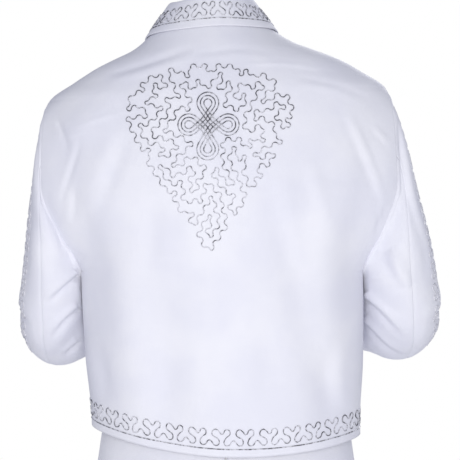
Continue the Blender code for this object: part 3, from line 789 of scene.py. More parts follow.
@dataclass(frozen=True)
class CollarForm:
    """A turned-down collar: up from the neckline, over its fold and down to its edge."""

    lift: float = 0.0032
    fold: float = 0.0054
    start: float = 0.012
    columns: int = 188
    stand_rows: int = 12
    fold_rows: int = 9
    fall_rows: int = 22

    def sheet(self, back: Cloth, left: Cloth, right: Cloth, body: "Surface", rows_above: int) -> Cloth:
        """The collar's sheet, from the left front round to the right.

        Args:
            back: The back.
            left: The left front.
            right: The right front.
            body: All three, for what lies on them.
            rows_above: How many rows the panels have above the shoulder tip.

        Returns:
            The sheet, from the neckline to the collar's edge.
        """

        def line_of(row: int) -> Array:
            """A row of points all round the neck."""
            behind = back.points[row][::-1][1:-1]
            return np.concatenate([left.points[row], behind, right.points[row][::-1]])

        line, below = line_of(-1), line_of(-1 - rows_above // 4)
        run = run_of(line)[-1]
        shares = np.linspace(self.start / run, 1 - self.start / run, self.columns + 1)
        base = along(line, shares)
        up = along(unit(line - below), shares)
        for _ in range(50):
            up[1:-1] = (up[:-2] + 2 * up[1:-1] + up[2:]) / 4
            base[1:-1] = (base[:-2] + 6 * base[1:-1] + base[2:]) / 8
        up = unit(up)
        turn = np.degrees(np.arctan2(np.abs(base[:, 0]), base[:, 1]))
        height = COLLAR.read("height", turn)[:, None]
        lean = COLLAR.read("lean", turn)[:, None]
        drop = COLLAR.read("drop", turn)[:, None]
        away = unit(base * [1, 1, 0])
        base = base + up * 0.0006
        rise = unit(np.array([0, 0, 1.0]) * np.sqrt(height**2 - lean**2) - away * lean)
        side = unit(away - rise * np.sum(away * rise, -1, keepdims=True))
        top = base + rise * height
        half = self.fold / 2
        edge = body.lifted(base - up * drop + side * self.fold, self.lift, False)
        rows = [base + rise * height * s for s in np.linspace(0, 1, self.stand_rows + 1)[:-1]]
        for a in np.linspace(0, np.pi, self.fold_rows + 1):
            rows.append(top + side * half * (1 - np.cos(a)) + rise * half * np.sin(a))
        over = rows[-1]
        fall = [over + (edge - over) * s for s in np.linspace(0, 1, self.fall_rows + 1)[1:]]
        rows += [body.lifted(row, self.lift) for row in fall]
        points = np.stack(rows)
        first = self.stand_rows + self.fold_rows // 2
        for _ in range(6):
            points[first:-1] = (points[first - 1 : -2] + 2 * points[first:-1] + points[first + 1 :]) / 4
        for _ in range(8):
            points[:, 1:-1] = (points[:, :-2] + 2 * points[:, 1:-1] + points[:, 2:]) / 4
        return Cloth(points, points * [0, 0, 1], slice(-self.fall_rows, None))

    def fold_row(self) -> int:
        """The row at the top of the fold."""
        return self.stand_rows + self.fold_rows // 2


@dataclass(frozen=True)
class TrouserForm:
    """The trousers: four leg panels, a waistband and a fly."""

    posture: Posture = Posture()
    waist: float = -0.478
    band_top: float = -0.438
    band_lap: float = 0.024
    crotch: float = -0.692
    hem: float = -1.465
    top_rows: int = 44
    leg_rows: int = 116
    columns: int = 40
    fly_width: float = 0.034
    fly_inset: float = 0.012
    fly_end: float = -0.6

    def half(self, level: float, back: bool) -> Array:
        """Half of one leg's section.

        Args:
            level: The section's level.
            back: Whether it goes over the back.

        Returns:
            Points from its outer side to its inner edge.
        """
        outer, centre, inner, side = (
            TROUSER.read(name, level) for name in ("outer", "centre", "inner", "side_y")
        )
        far = TROUSER.read("back_y" if back else "front_y", level)
        crotch = np.radians(TROUSER.read("crotch", level))
        first = np.linspace(-np.pi / 2, 0, 61)
        second = np.linspace(0, 1, 61)[1:] * crotch
        whole = np.sin(crotch) if crotch > 1e-3 else 1.0
        outside = centre - (outer - centre) * np.sin(first)
        inside = centre - (centre - inner) * np.sin(second) / whole
        x = np.concatenate([outside, inside])
        y = side + (far - side) * np.concatenate([np.cos(first), np.cos(second)])
        return np.stack([x, y, np.full(len(x), level)], -1)

    def leg(self, side: Side, back: bool, creases: list[Crease]) -> Cloth:
        """One leg panel, from the waist down and from its outer seam to its inner one."""
        top = np.linspace(self.waist, self.crotch, self.top_rows + 1)[:-1]
        levels = np.concatenate([top, np.linspace(self.crotch, self.hem, self.leg_rows + 1)])
        shares = graded(self.columns, True, True)
        points = np.stack([along(self.half(level, back), shares) for level in levels])
        # The two halves of a section meet in a corner over the crotch, which the cloth rounds off
        for _ in range(10):
            points[1:-1, 1:-1] = (
                points[:-2, 1:-1] + points[2:, 1:-1] + points[1:-1, :-2] + points[1:-1, 2:]
                + 4 * points[1:-1, 1:-1]
            ) / 8
        centre = np.array([0.1, 0.005, 0]) * [side.value, 1, 0]
        points = points * [side.value, 1, 1]
        flat = Cloth(self.posture.hips(points), self.posture.hips(centre) + points * [0, 0, 1])
        off = flat.from_column(0)
        pressed = 0.001 * np.exp(-(((off - 0.01) / 0.0035) ** 2))
        made = flat.creased(creases, 0.0012)
        return made.raised(made.grooved(0) + made.grooved(-1) + pressed * back)

    def waist_line(self, level: float) -> Array:
        """The waist's outline, from the front's middle round the wearer's left to the front again."""
        left = np.concatenate([self.half(level, False)[::-1], self.half(level, True)[1:]])
        return np.concatenate([left, (left * [-1, 1, 1])[::-1][1:]])

    def waistband(self) -> Cloth:
        """The waistband, which laps over itself at the front."""
        ring = self.waist_line(self.waist)
        run = run_of(ring)[-1]
        at = np.linspace(0, run + self.band_lap, 230)
        line = along(ring, np.where(at > run, at - run, at) / run)
        lap = np.clip((at - run + 0.045) / 0.04, 0, 1)
        line = line + unit(line * [1, 1, 0]) * (lap * 0.0032)[:, None]
        levels = np.linspace(0.0006, self.band_top - self.waist, 13)
        points = np.stack([line + [0, 0, level] for level in levels])
        made = Cloth(self.posture.hips(points), points * [0, 0, 1])
        edge = 0.0007 * np.exp(-(((made.from_row(0) - 0.004) / 0.003) ** 2))
        return made.raised(edge)

    def fly(self, front: Cloth) -> Cloth:
        """The fly's facing, which lies on the left front's middle edge."""
        rows = [row[::-1] for row in front.points if row[0, 2] > self.fly_end]
        ends = np.sqrt(np.linspace(1, 0.35, len(rows)))
        made = []
        for row, end in zip(rows, ends):
            run = run_of(row)
            at = np.linspace(self.fly_inset * run[-1], self.fly_inset * run[-1] + self.fly_width * end, 12)
            made.append(np.stack([np.interp(at, run, axis) for axis in row.T], -1))
        points = np.stack(made)
        sheet = Cloth(points, front.centre[: len(rows), :1])
        return sheet.raised(np.full(points.shape[:2], 0.0021))


# Lines that lie on the cloth


class Surface:
    """Sheets of cloth, for what lies on them."""

    def __init__(self, sheets: list[Cloth]) -> None:
        """Builds the search tree.

        Args:
            sheets: The sheets that other pieces may lie on.
        """
        points: list = []
        faces: list = []
        for sheet in sheets:
            start = len(points)
            points.extend(sheet.points.reshape(-1, 3).tolist())
            faces.extend((grid_faces(*sheet.points.shape[:2]) + start).tolist())
        self.tree = BVHTree.FromPolygons(points, faces)

    def lifted(self, points: Array, lift: float, at_least: bool = True) -> Array:
        """The points at a height over the cloth, or only those that are nearer moved there.

        Args:
            points: The points to move.
            lift: The height.
            at_least: Whether points that are higher stay.

        Returns:
            The moved points.
        """
        moved = []
        for point in points.reshape(-1, 3):
            near, normal, _, _ = self.tree.find_nearest(Vector(point))
            normal = normal if normal.dot(Vector((near.x, near.y, 0))) > 0 else -normal
            high = (Vector(point) - near).dot(normal) >= lift
            moved.append(point if at_least and high else np.array(near + normal * lift))
        return np.array(moved).reshape(points.shape)

    def on_back(self, flat: Array, lift: Array | float) -> Array:
        """Points drawn on the wearer's back.

        Args:
            flat: Their x and z as the back is seen.
            lift: Their heights over the cloth's middle.

        Returns:
            The points.
        """
        lifts = np.broadcast_to(lift, len(flat))
        made = []
        for (x, z), up in zip(flat, lifts):
            spot, normal, _, _ = self.tree.ray_cast(Vector((x, 1, z)), Vector((0, -1, 0)))
            normal = normal if normal.y > 0 else -normal
            made.append(np.array(spot + normal * float(up)))
        return np.array(made)


class Band:
    """A strip of cloth along an edge, on which lines are laid by their distance along it and in from it."""

    def __init__(self, points: Array, normals: Array) -> None:
        """Measures the strip.

        Args:
            points: The strip's points, from the edge inward by row.
            normals: The directions square to it.
        """
        self.points, self.normals = points, normals
        self.run = run_of(points[min(6, len(points) - 1)])
        gaps = np.linalg.norm(np.diff(points, axis=0), axis=-1)
        self.rise = np.concatenate([np.zeros((1, gaps.shape[1])), gaps.cumsum(0)])

    @property
    def length(self) -> float:
        """The strip's length."""
        return float(self.run[-1])

    def place(self, line: Array, lift: float) -> Array:
        """The line laid on the strip.

        Args:
            line: Distances along the edge and in from it.
            lift: Its height over the cloth's middle.

        Returns:
            The points.
        """
        rows, columns = self.rise.shape
        made = []
        for s, t in line:
            at = min(np.interp(s, self.run, np.arange(columns)), columns - 1.001)
            j = int(at)
            f = at - j
            rise = self.rise[:, j] * (1 - f) + self.rise[:, j + 1] * f
            up = min(np.interp(t, rise, np.arange(rows)), rows - 1.001)
            i = int(up)
            g = up - i
            share = np.array([[(1 - g) * (1 - f), (1 - g) * f], [g * (1 - f), g * f]])[..., None]
            spot = (self.points[i : i + 2, j : j + 2] * share).sum((0, 1))
            way = (self.normals[i : i + 2, j : j + 2] * share).sum((0, 1))
            made.append(spot + unit(way) * lift)
        return np.array(made)

    def level_line(self, inward: float, lift: float, start: float = 0.0, end: float = 1.0) -> Array:
        """A line at one distance from the edge."""
        at = np.arange(start * self.length, end * self.length, 0.003)
        return self.place(np.stack([at, np.full(len(at), inward)], -1), lift)


@dataclass(frozen=True)
class Meander:
    """A cord that swings between two rows of paired lobes. The chart is one repeat, in millimetres."""

    repeat: float = 0.0315
    height: float = 0.0215
    chart: tuple[tuple[float, float], ...] = (
        (0.0, 16.4), (1.4, 20.6), (5.4, 22.3), (9.6, 19.2), (12.6, 15.4), (15.6, 17.0), (17.2, 20.8),
        (20.6, 22.3), (24.0, 19.8), (23.6, 15.0), (19.4, 11.4), (16.6, 7.2), (16.2, 2.6), (19.8, 0.0),
        (24.0, 1.8), (26.4, 6.0), (29.6, 7.2), (32.4, 4.4), (35.4, 0.8), (39.6, 0.6), (42.2, 4.2),
        (40.8, 9.0), (36.4, 11.6), (33.4, 13.6),
    )

    def line(self, length: float, low: float, flip: bool = False) -> Array:
        """The meander along a strip.

        Args:
            length: The strip's length.
            low: How far its lower lobes lie from the strip's edge.
            flip: Whether it leans the other way.

        Returns:
            Distances along the edge and in from it.
        """
        chart = np.array(self.chart) / 1000
        count = max(round((length - 0.012) / self.repeat), 1)
        step = (length - 0.012) / count
        scale = np.array([step / 0.0323, self.height / 0.0223])
        spots = np.concatenate([chart + [0.0323 * i, 0] for i in range(count)])
        spots = spots[spots[:, 0] < 0.0323 * count + 0.004] * scale + [0.005, low]
        if flip:
            spots[:, 0] = length - spots[:, 0]
        return evened(through(spots, 8), 0.0014)


@dataclass(frozen=True)
class Knot:
    """A knot of three cords side by side: four round loops joined by straight runs that cross in the
    middle."""

    centre: tuple[float, float] = (0.01, -0.1245)
    loops: tuple[tuple[float, float], ...] = ((0, 0.025), (-90, 0.0325), (180, 0.0268), (90, 0.029))
    radius: float = 0.0101
    pitch: float = 0.0045
    weave: float = 0.0006

    def strands(self) -> list[tuple[Array, Array]]:
        """The three cords, each as its x and z and its height over the lowest."""
        spots = []
        for turn, reach in self.loops:
            axis = np.radians(turn)
            arc = axis + np.radians(np.linspace(-128, 128, 40))
            middle = np.array([np.cos(axis), np.sin(axis)]) * reach
            spots.append(middle + self.radius * np.stack([np.cos(arc), np.sin(arc)], -1))
            after = axis - np.radians(45)
            spots.append(1.5 * self.pitch * np.array([[np.cos(after), np.sin(after)]]))
        middle = evened(np.concatenate(spots), 0.0009, closed=True, passes=12)
        way = np.roll(middle, -1, 0) - np.roll(middle, 1, 0)
        way /= np.linalg.norm(way, axis=-1, keepdims=True)
        square = np.stack([way[:, 1], -way[:, 0]], -1)
        made = []
        for place in (-1, 0, 1):
            line = evened(middle + square * self.pitch * place, 0.0009, closed=True, passes=2)
            made.append((line + np.array(self.centre), self.heights(line)))
        return made

    def heights(self, line: Array) -> Array:
        """How high a cord lies, over one crossing and under the next.

        Args:
            line: The cord's points from the knot's middle.

        Returns:
            The height at each point.
        """
        way = np.roll(line, -1, 0) - np.roll(line, 1, 0)
        u, v = (line[:, 0] + line[:, 1]) / np.sqrt(2), (line[:, 0] - line[:, 1]) / np.sqrt(2)
        rising = way[:, 0] * way[:, 1] > 0
        run, lane = np.where(rising, u, v), np.where(rising, v, u)
        parity = np.where(np.floor(lane / self.pitch) % 2 == 0, 1, -1) * np.where(rising, 1, -1)
        inside = np.clip((0.021 - np.linalg.norm(line, axis=-1)) / 0.004, 0, 1)
        lift = self.weave * (1 + parity * np.sin(np.pi * run / self.pitch)) * inside
        for _ in range(3):
            lift = (np.roll(lift, 1) + 2 * lift + np.roll(lift, -1)) / 4
        return lift


@dataclass(frozen=True)
class Vermicelli:
    """One cord that wanders all over a drop-shaped ornament and never crosses itself.

    It follows the outline of a branching figure, whose branches keep an even distance, and it waves as
    it goes."""

    knot: Knot
    centre: tuple[float, float] = (0.0084, -0.1157)
    half_width: float = 0.1105
    rise: float = 0.071
    drop: float = 0.1775
    side_bow: float = 0.1
    overhang: float = 0.0035
    pitch: float = 0.0182
    ball: float = 0.0053
    stick: float = 0.0042
    radial: float = 0.9
    grid: float = 0.0008
    spacing: float = 0.001
    wave: float = 0.0156
    swing: float = 0.0031
    bulb: float = 0.0013
    apart: float = 0.0099
    shortest: float = 0.11
    seed: int = 10

    def in_drop(self, spots: Array, margin: float) -> Array:
        """Whether each spot lies in the drop, at a margin from its border."""
        x, z = (spots - np.array(self.centre)).T
        wide = np.abs(x) / (self.half_width - margin)
        upper = wide**2.3 + np.abs(z / (self.rise - margin)) ** 2.3 <= 1
        down = np.clip(-z / (self.drop - 1.9 * margin), 0, 1)
        lower = wide <= (1 - down) * (1 + self.side_bow * np.sin(np.pi * down))
        return np.where(z > 0, upper, lower)

    def clear(self, spots: Array) -> Array:
        """Whether each spot is clear of the knot."""
        found = np.linalg.norm(spots - self.knot.centre, axis=-1) > 0.02
        for turn, reach in self.knot.loops:
            axis = np.radians(turn)
            loop = np.array(self.knot.centre) + reach * np.array([np.cos(axis), np.sin(axis)])
            found &= np.linalg.norm(spots - loop, axis=-1) > self.knot.radius + self.knot.pitch + 0.005
        return found

    def scattered(self, dice: random.Random) -> Array:
        """Spots spread evenly over the drop outside the knot.

        Args:
            dice: The source of chance.

        Returns:
            The spots' x and z.
        """
        step = 0.003
        xs = np.arange(-0.12, 0.14, step)
        zs = np.arange(-0.3, -0.03, step)
        ground = np.stack(np.meshgrid(xs, zs, indexing="ij"), -1).reshape(-1, 2)
        ground = ground[self.in_drop(ground, -self.overhang) & self.clear(ground)]
        count = int(len(ground) * step**2 / (0.866 * self.pitch**2))
        spots = np.array([ground[dice.randrange(len(ground))] for _ in range(count)])
        for _ in range(40):
            near = np.argmin(np.linalg.norm(ground[:, None] - spots[None], axis=-1), 1)
            spots = np.stack(
                [ground[near == k].mean(0) if (near == k).any() else spots[k] for k in range(count)]
            )
        return spots

    def branches(self) -> list[tuple[Array, Array]]:
        """The branching figure's straight pieces, more of them out from the knot than round it."""
        dice = random.Random(self.seed)
        spots = self.scattered(dice)
        gaps = np.linalg.norm(spots[:, None] - spots[None], axis=-1)
        pairs = []
        for i, j in np.argwhere(np.triu(gaps < 1.6 * self.pitch, 1)):
            middle = (spots[i] + spots[j]) / 2
            others = np.linalg.norm(spots - middle, axis=-1)
            others[[i, j]] = 1
            if others.min() < 0.49 * gaps[i, j] or not self.clear(middle[None])[0]:
                continue
            away = middle - np.array(self.knot.centre)
            way = (spots[j] - spots[i]) / gaps[i, j]
            across = 1 - abs(way @ away) / np.linalg.norm(away)
            pairs.append((dice.random() + self.radial * across, i, j))
        group = list(range(len(spots)))
        degree = [0] * len(spots)
        made = []
        for most in (2, 3, 5):
            for _, i, j in sorted(pairs):
                if group[i] == group[j] or degree[i] >= most or degree[j] >= most:
                    continue
                old, new = group[j], group[i]
                group = [new if g == old else g for g in group]
                degree[i] += 1
                degree[j] += 1
                made.append((spots[i], spots[j]))
        return made

    def outlines(self) -> list[Array]:
        """The outline of the branching figure, as closed lines."""
        xs = np.arange(-0.13, 0.15, self.grid)
        zs = np.arange(-0.31, -0.03, self.grid)
        spots = np.stack(np.meshgrid(xs, zs, indexing="ij"), -1)
        soft = 0.0012
        total = np.zeros(spots.shape[:2])
        for a, b in self.branches():
            way = b - a
            t = np.clip(((spots - a) @ way) / (way @ way), 0, 1)
            near = np.linalg.norm(spots - a - t[..., None] * way, axis=-1) - self.stick
            total += np.exp(-near / soft)
            for end in (a, b):
                total += 0.5 * np.exp(-(np.linalg.norm(spots - end, axis=-1) - self.ball) / soft)
        lines = zero_lines(-soft * np.log(np.maximum(total, 1e-30)), xs, zs)
        return [line for line in lines if run_of(line)[-1] > self.shortest]

    def spread(self, lines: list[Array], rounds: int = 10) -> list[Array]:
        """The lines after each has moved off from what lies too near it.

        Args:
            lines: Closed lines.
            rounds: How many small moves they make.

        Returns:
            The moved lines.
        """
        spacing, most = 0.0018, 0.0009
        for _ in range(rounds):
            lines = [evened(line, spacing, closed=True) for line in lines]
            spots = np.concatenate(lines)
            owner = np.repeat(np.arange(len(lines)), [len(line) for line in lines])
            place = np.concatenate([np.arange(len(line)) for line in lines])
            size = np.array([len(line) for line in lines])[owner]
            off = spots[:, None] - spots[None]
            gap = np.linalg.norm(off, axis=-1)
            run = np.abs(place[:, None] - place[None])
            run = np.minimum(run, size[:, None] - run) * spacing
            other = (owner[:, None] != owner[None]) | (run > 1.4 * self.apart)
            i, j = np.nonzero((gap < self.apart) & other)
            move = np.zeros_like(spots)
            np.add.at(move, i, off[i, j] * ((self.apart - gap[i, j]) / gap[i, j])[:, None])
            move *= 0.05
            move *= np.minimum(1, most / np.maximum(np.linalg.norm(move, axis=-1, keepdims=True), 1e-9))
            inward = unit(np.array(self.centre) - [0, 0.03] - spots)
            outward = unit(spots - np.array(self.knot.centre))
            move += np.where(self.in_drop(spots, 0.0)[:, None], 0, inward * most)
            move += np.where(self.clear(spots)[:, None], 0, outward * most)
            moved = np.split(spots + move, np.cumsum([len(line) for line in lines])[:-1])
            lines = [0.9 * line + 0.05 * (np.roll(line, 1, 0) + np.roll(line, -1, 0)) for line in moved]
        return lines

    def cords(self) -> list[Array]:
        """The cord's closed lines, waved across their own way wherever there is room."""
        lines = [
            evened(line, self.spacing, closed=True, passes=14) for line in self.spread(self.outlines())
        ]
        made = []
        for k, line in enumerate(lines):
            count = len(line)
            others = [other for n, other in enumerate(lines) if n != k]
            index = np.arange(count)
            gaps = np.linalg.norm(line[:, None] - line[None], axis=-1)
            run = np.abs(index[:, None] - index[None])
            gaps[np.minimum(run, count - run) * self.spacing < 0.013] = 1
            room = gaps.min(1)
            for other in others:
                room = np.minimum(room, np.linalg.norm(line[:, None] - other[None], axis=-1).min(1))
            room = np.clip((room - 0.0035) / 0.0065, 0.1, 1)
            for _ in range(30):
                room = (np.roll(room, 1) + 2 * room + np.roll(room, -1)) / 4
            way = unit(np.roll(line, -2, 0) - np.roll(line, 2, 0))
            square = np.stack([way[:, 1], -way[:, 0]], -1)
            share = 2 * np.pi * index / count
            beats = max(round(count * self.spacing / self.wave), 2)
            phase = beats * share + 1.3 * np.sin(5 * share) + 0.7 * np.sin(13 * share + 1)
            out = (self.swing * room * np.sin(phase))[:, None]
            back = (self.bulb * room * np.sin(2 * phase))[:, None]
            made.append(evened(line + square * out - way * back, 0.0011, closed=True, passes=4))
        return made


def zero_lines(values: Array, xs: Array, zs: Array) -> list[Array]:
    """The closed lines where a field of values is zero.

    Args:
        values: The field, by x and then z.
        xs: The x of each row.
        zs: The z of each column.

    Returns:
        The lines' points.
    """
    inside = values < 0
    mixed = inside[:-1, :-1].astype(int) + inside[1:, :-1] + inside[:-1, 1:] + inside[1:, 1:]
    links: dict = {}

    def crosses(edge: tuple[int, int, int]) -> bool:
        """Whether the line passes through an edge of the field's cells."""
        i, j, up = edge
        return inside[i, j] != inside[i + 1 - up, j + up]

    def spot(edge: tuple[int, int, int]) -> tuple[float, float]:
        """Where it does."""
        i, j, up = edge
        a, b = values[i, j], values[i + 1 - up, j + up]
        share = a / (a - b)
        return (
            xs[i] + (0 if up else share * (xs[1] - xs[0])), zs[j] + (share * (zs[1] - zs[0]) if up else 0),
        )

    for i, j in np.argwhere((mixed > 0) & (mixed < 4)):
        ring = [(i, j, 0), (i + 1, j, 1), (i, j + 1, 0), (i, j, 1)]
        cut = [edge for edge in ring if crosses(edge)]
        for a, b in zip(cut[::2], cut[1::2]):
            links.setdefault(a, []).append(b)
            links.setdefault(b, []).append(a)
    lines = []
    while links:
        start = next(iter(links))
        at, line = start, []
        while at in links:
            line.append(spot(at))
            ahead = links.pop(at)
            at = next((edge for edge in ahead if edge in links), None)
        if len(line) > 20:
            lines.append(np.array(line))
    return lines


# Node trees


class Socket:
    """A node's output, with the operators that add Math nodes."""

    def __init__(self, graph: "Graph", link: bpy.types.NodeSocket) -> None:
        """Keeps the socket and the tree that it is in."""
        self.graph, self.link = graph, link

    def _math(self, operation: str, *values: "Socket | float") -> "Socket":
        """A Math node on the values."""
        return self.graph.node("ShaderNodeMath", {"operation": operation}, dict(enumerate(values)))

    def __add__(self, other: "Socket | float") -> "Socket":
        """The sum."""
        return self._math("ADD", self, other)

    __radd__ = __add__

    def __sub__(self, other: "Socket | float") -> "Socket":
        """The difference."""
        return self._math("SUBTRACT", self, other)

    def __rsub__(self, other: "Socket | float") -> "Socket":
        """The difference, with this socket taken away."""
        return self._math("SUBTRACT", other, self)

    def __mul__(self, other: "Socket | float") -> "Socket":
        """The product."""
        return self._math("MULTIPLY", self, other)

    __rmul__ = __mul__

    def __truediv__(self, other: "Socket | float") -> "Socket":
        """The quotient."""
        return self._math("DIVIDE", self, other)

    def __rtruediv__(self, other: "Socket | float") -> "Socket":
        """The quotient, with this socket below."""
        return self._math("DIVIDE", other, self)

    def sine(self) -> "Socket":
        """Its sine."""
        return self._math("SINE", self)

    def cosine(self) -> "Socket":
        """Its cosine."""
        return self._math("COSINE", self)

    def kept(self, low: float, high: float) -> "Socket":
        """Its value scaled so that low becomes 0 and high 1, and kept between them."""
        settings = {"clamp": True, "interpolation_type": "SMOOTHSTEP"}
        return self.graph.node("ShaderNodeMapRange", settings, {0: self, 1: low, 2: high, 3: 0.0, 4: 1.0})


class Graph:
    """A node tree that is built node by node."""

    def __init__(self, tree: bpy.types.NodeTree) -> None:
        """Starts on an empty tree."""
        self.tree = tree

    def node(
        self, kind: str, settings: dict | None = None, inputs: dict | None = None, output: int | str = 0
    ) -> Socket:
        """Adds a node.

        Args:
            kind: The node's type.
            settings: Its properties, set before its sockets.
            inputs: Values or sockets for its inputs, by name or number.
            output: The output that is returned.

        Returns:
            That output.
        """
        made = self.tree.nodes.new(kind)
        for name, value in (settings or {}).items():
            setattr(made, name, value)
        for name, value in (inputs or {}).items():
            self.feed(made.inputs[name], value)
        return Socket(self, made.outputs[output]) if len(made.outputs) else Socket(self, made.inputs[0])

    def feed(self, end: bpy.types.NodeSocket, value: object) -> None:
        """Sets an input, or links a socket to it."""
        if isinstance(value, Socket):
            self.tree.links.new(value.link, end)
        else:
            end.default_value = value

    def blend(self, share: Socket | float, first: tuple, second: tuple) -> Socket:
        """A colour between two others."""
        settings = {"data_type": "RGBA"}
        return self.node("ShaderNodeMix", settings, {0: share, 6: (*first, 1), 7: (*second, 1)}, 2)


class Tree:
    """A Geometry Nodes tree with named inputs, and the modifier that runs it on a line of points."""

    def __init__(self, name: str, sizes: dict[str, float]) -> None:
        """Makes the tree's sockets.

        Args:
            name: The tree's name.
            sizes: Its named sizes and their values.
        """
        self.tree = bpy.data.node_groups.new(name, "GeometryNodeTree")
        self.graph = Graph(self.tree)
        self.sizes = sizes
        add = self.tree.interface.new_socket
        add("Geometry", in_out="OUTPUT", socket_type="NodeSocketGeometry")
        self.idents = {}
        add("Line", in_out="INPUT", socket_type="NodeSocketGeometry")
        for size in sizes:
            self.idents[size] = add(size, in_out="INPUT", socket_type="NodeSocketFloat").identifier
        self.idents["Finish"] = add("Finish", in_out="INPUT", socket_type="NodeSocketMaterial").identifier
        self.entry = self.tree.nodes.new("NodeGroupInput")

    def given(self, name: str) -> Socket:
        """One of the tree's inputs."""
        return Socket(self.graph, self.entry.outputs[name])

    def end(self, shape: Socket) -> None:
        """Realizes the instances, sets the finish and ends the tree."""
        real = self.graph.node("GeometryNodeRealizeInstances", {}, {"Geometry": shape})
        round_ = self.graph.node("GeometryNodeSetShadeSmooth", {}, {"Geometry": real})
        finish = {"Geometry": round_, "Material": self.given("Finish")}
        done = self.graph.node("GeometryNodeSetMaterial", {}, finish)
        self.graph.tree.links.new(done.link, self.tree.nodes.new("NodeGroupOutput").inputs[0])

    def run(
        self, name: str, lines: list[tuple[Array, bool]], finish: bpy.types.Material
    ) -> bpy.types.Object:
        """A plain mesh that the tree makes along lines of points.

        Args:
            name: The new piece's name.
            lines: The lines' points, and whether each is closed.
            finish: Its material.

        Returns:
            The piece.
        """
        points: list = []
        edges: list = []
        for line, closed in lines:
            start, count = len(points), len(line)
            points.extend(line.tolist())
            edges.extend((start + i, start + i + 1) for i in range(count - 1))
            if closed:
                edges.append((start + count - 1, start))
        mesh = bpy.data.meshes.new(name)
        mesh.from_pydata(points, edges, [])
        piece = bpy.data.objects.new(name, mesh)
        bpy.context.scene.collection.objects.link(piece)
        modifier = piece.modifiers.new("along", "NODES")
        modifier.node_group = self.tree
        for size, value in self.sizes.items():
            modifier[self.idents[size]] = float(value)
        modifier[self.idents["Finish"]] = finish
        graph = bpy.context.evaluated_depsgraph_get()
        solid = bpy.data.meshes.new_from_object(
            piece.evaluated_get(graph), preserve_all_data_layers=True, depsgraph=graph
        )
        piece.modifiers.clear()
        piece.data = solid
        bpy.data.meshes.remove(mesh)
        return piece


def cord_tree(radius: float, unevenness_: float) -> Tree:
    """A tree that lays an uneven round cord along a line, with its run and its turn kept for the finish.

    Args:
        radius: The cord's radius.
        unevenness_: How much that varies, as a share.

    Returns:
        The tree.
    """
    made = Tree("laid_cord", {"Radius": radius, "Unevenness": unevenness_, "Seed": 3.0})
    graph = made.graph
    line = graph.node("GeometryNodeMeshToCurve", {}, {"Mesh": made.given("Line")})
    run = graph.node("GeometryNodeSplineParameter", output="Length")
    kept = {"data_type": "FLOAT", "domain": "POINT"}
    line = graph.node(
        "GeometryNodeStoreNamedAttribute", kept, {"Geometry": line, "Name": "run", "Value": run}
    )
    ring = graph.node(
        "GeometryNodeCurvePrimitiveCircle", {}, {"Resolution": 6, "Radius": made.given("Radius")}
    )
    turn = graph.node("GeometryNodeSplineParameter", output="Factor") * (2 * np.pi)
    for name, value in (("turn_cosine", turn.cosine()), ("turn_sine", turn.sine())):
        ring = graph.node(
            "GeometryNodeStoreNamedAttribute", kept, {"Geometry": ring, "Name": name, "Value": value}
        )
    place = graph.node("GeometryNodeInputPosition")
    noise = graph.node(
        "ShaderNodeTexNoise", {"noise_dimensions": "4D"},
        {"Vector": place, "W": made.given("Seed"), "Scale": 260.0, "Detail": 1.0},
    )
    scale = 1 + (noise - 0.5) * made.given("Unevenness") * 2
    shape = {"Curve": line, "Profile Curve": ring, "Scale": scale, "Fill Caps": True}
    made.end(graph.node("GeometryNodeCurveToMesh", {}, shape))
    return made


def stitch_tree(pitch: float, length: float, radius: float) -> Tree:
    """A tree that sews stitches along a line.

    Args:
        pitch: The distance from one stitch to the next.
        length: A stitch's length.
        radius: The thread's radius.

    Returns:
        The tree.
    """
    made = Tree("sewn_line", {"Pitch": pitch, "Length": length, "Radius": radius})
    graph = made.graph
    line = graph.node("GeometryNodeMeshToCurve", {}, {"Mesh": made.given("Line")})
    spots = graph.node(
        "GeometryNodeCurveToPoints", {"mode": "LENGTH"}, {"Curve": line, "Length": made.given("Pitch")}
    )
    tangent = Socket(graph, spots.link.node.outputs["Tangent"])
    lie = graph.node("FunctionNodeAlignRotationToVector", {"axis": "Z"}, {"Vector": tangent})
    bead = graph.node("GeometryNodeMeshUVSphere", {}, {"Segments": 5, "Rings": 4, "Radius": 1.0})
    size = graph.node(
        "ShaderNodeCombineXYZ", {},
        {"X": made.given("Radius"), "Y": made.given("Radius"), "Z": made.given("Length") * 0.5},
    )
    made.end(
        graph.node(
            "GeometryNodeInstanceOnPoints", {},
            {"Points": spots, "Instance": bead, "Rotation": lie, "Scale": size},
        )
    )
    return made


# Finishes


class Shader(Graph):
    """A material's node tree, ending in one Principled shader."""

    def __init__(self, name: str) -> None:
        """Starts the material.

        Args:
            name: Its name.
        """
        self.material = bpy.data.materials.new(name)
        self.material.use_nodes = True
        super().__init__(self.material.node_tree)
        self.principled = self.tree.nodes["Principled BSDF"]

    def finish(self, inputs: dict, shown: tuple[float, float, float]) -> bpy.types.Material:
        """Sets the shader's sockets.

        Args:
            inputs: Values or sockets, by name.
            shown: The plain colour that stands for it.

        Returns:
            The material.
        """
        for name, value in inputs.items():
            self.feed(self.principled.inputs[name], value)
        self.material.diffuse_color = (*shown, 1)
        return self.material

    def place(self) -> Socket:
        """The point's own coordinates, in metres."""
        return self.node("ShaderNodeTexCoord", output="Object")

    def noise(self, vector: Socket, scale: float, detail: float = 2.0) -> Socket:
        """Soft noise from 0 to 1."""
        return self.node("ShaderNodeTexNoise", {}, {"Vector": vector, "Scale": scale, "Detail": detail})

    def bump(
        self, height: Socket, distance: float, strength: float = 1.0, below: Socket | None = None
    ) -> Socket:
        """A bump, on top of another if there is one."""
        inputs: dict = {"Strength": strength, "Distance": distance, "Height": height}
        if below is not None:
            inputs["Normal"] = below
        return self.node("ShaderNodeBump", {}, inputs)


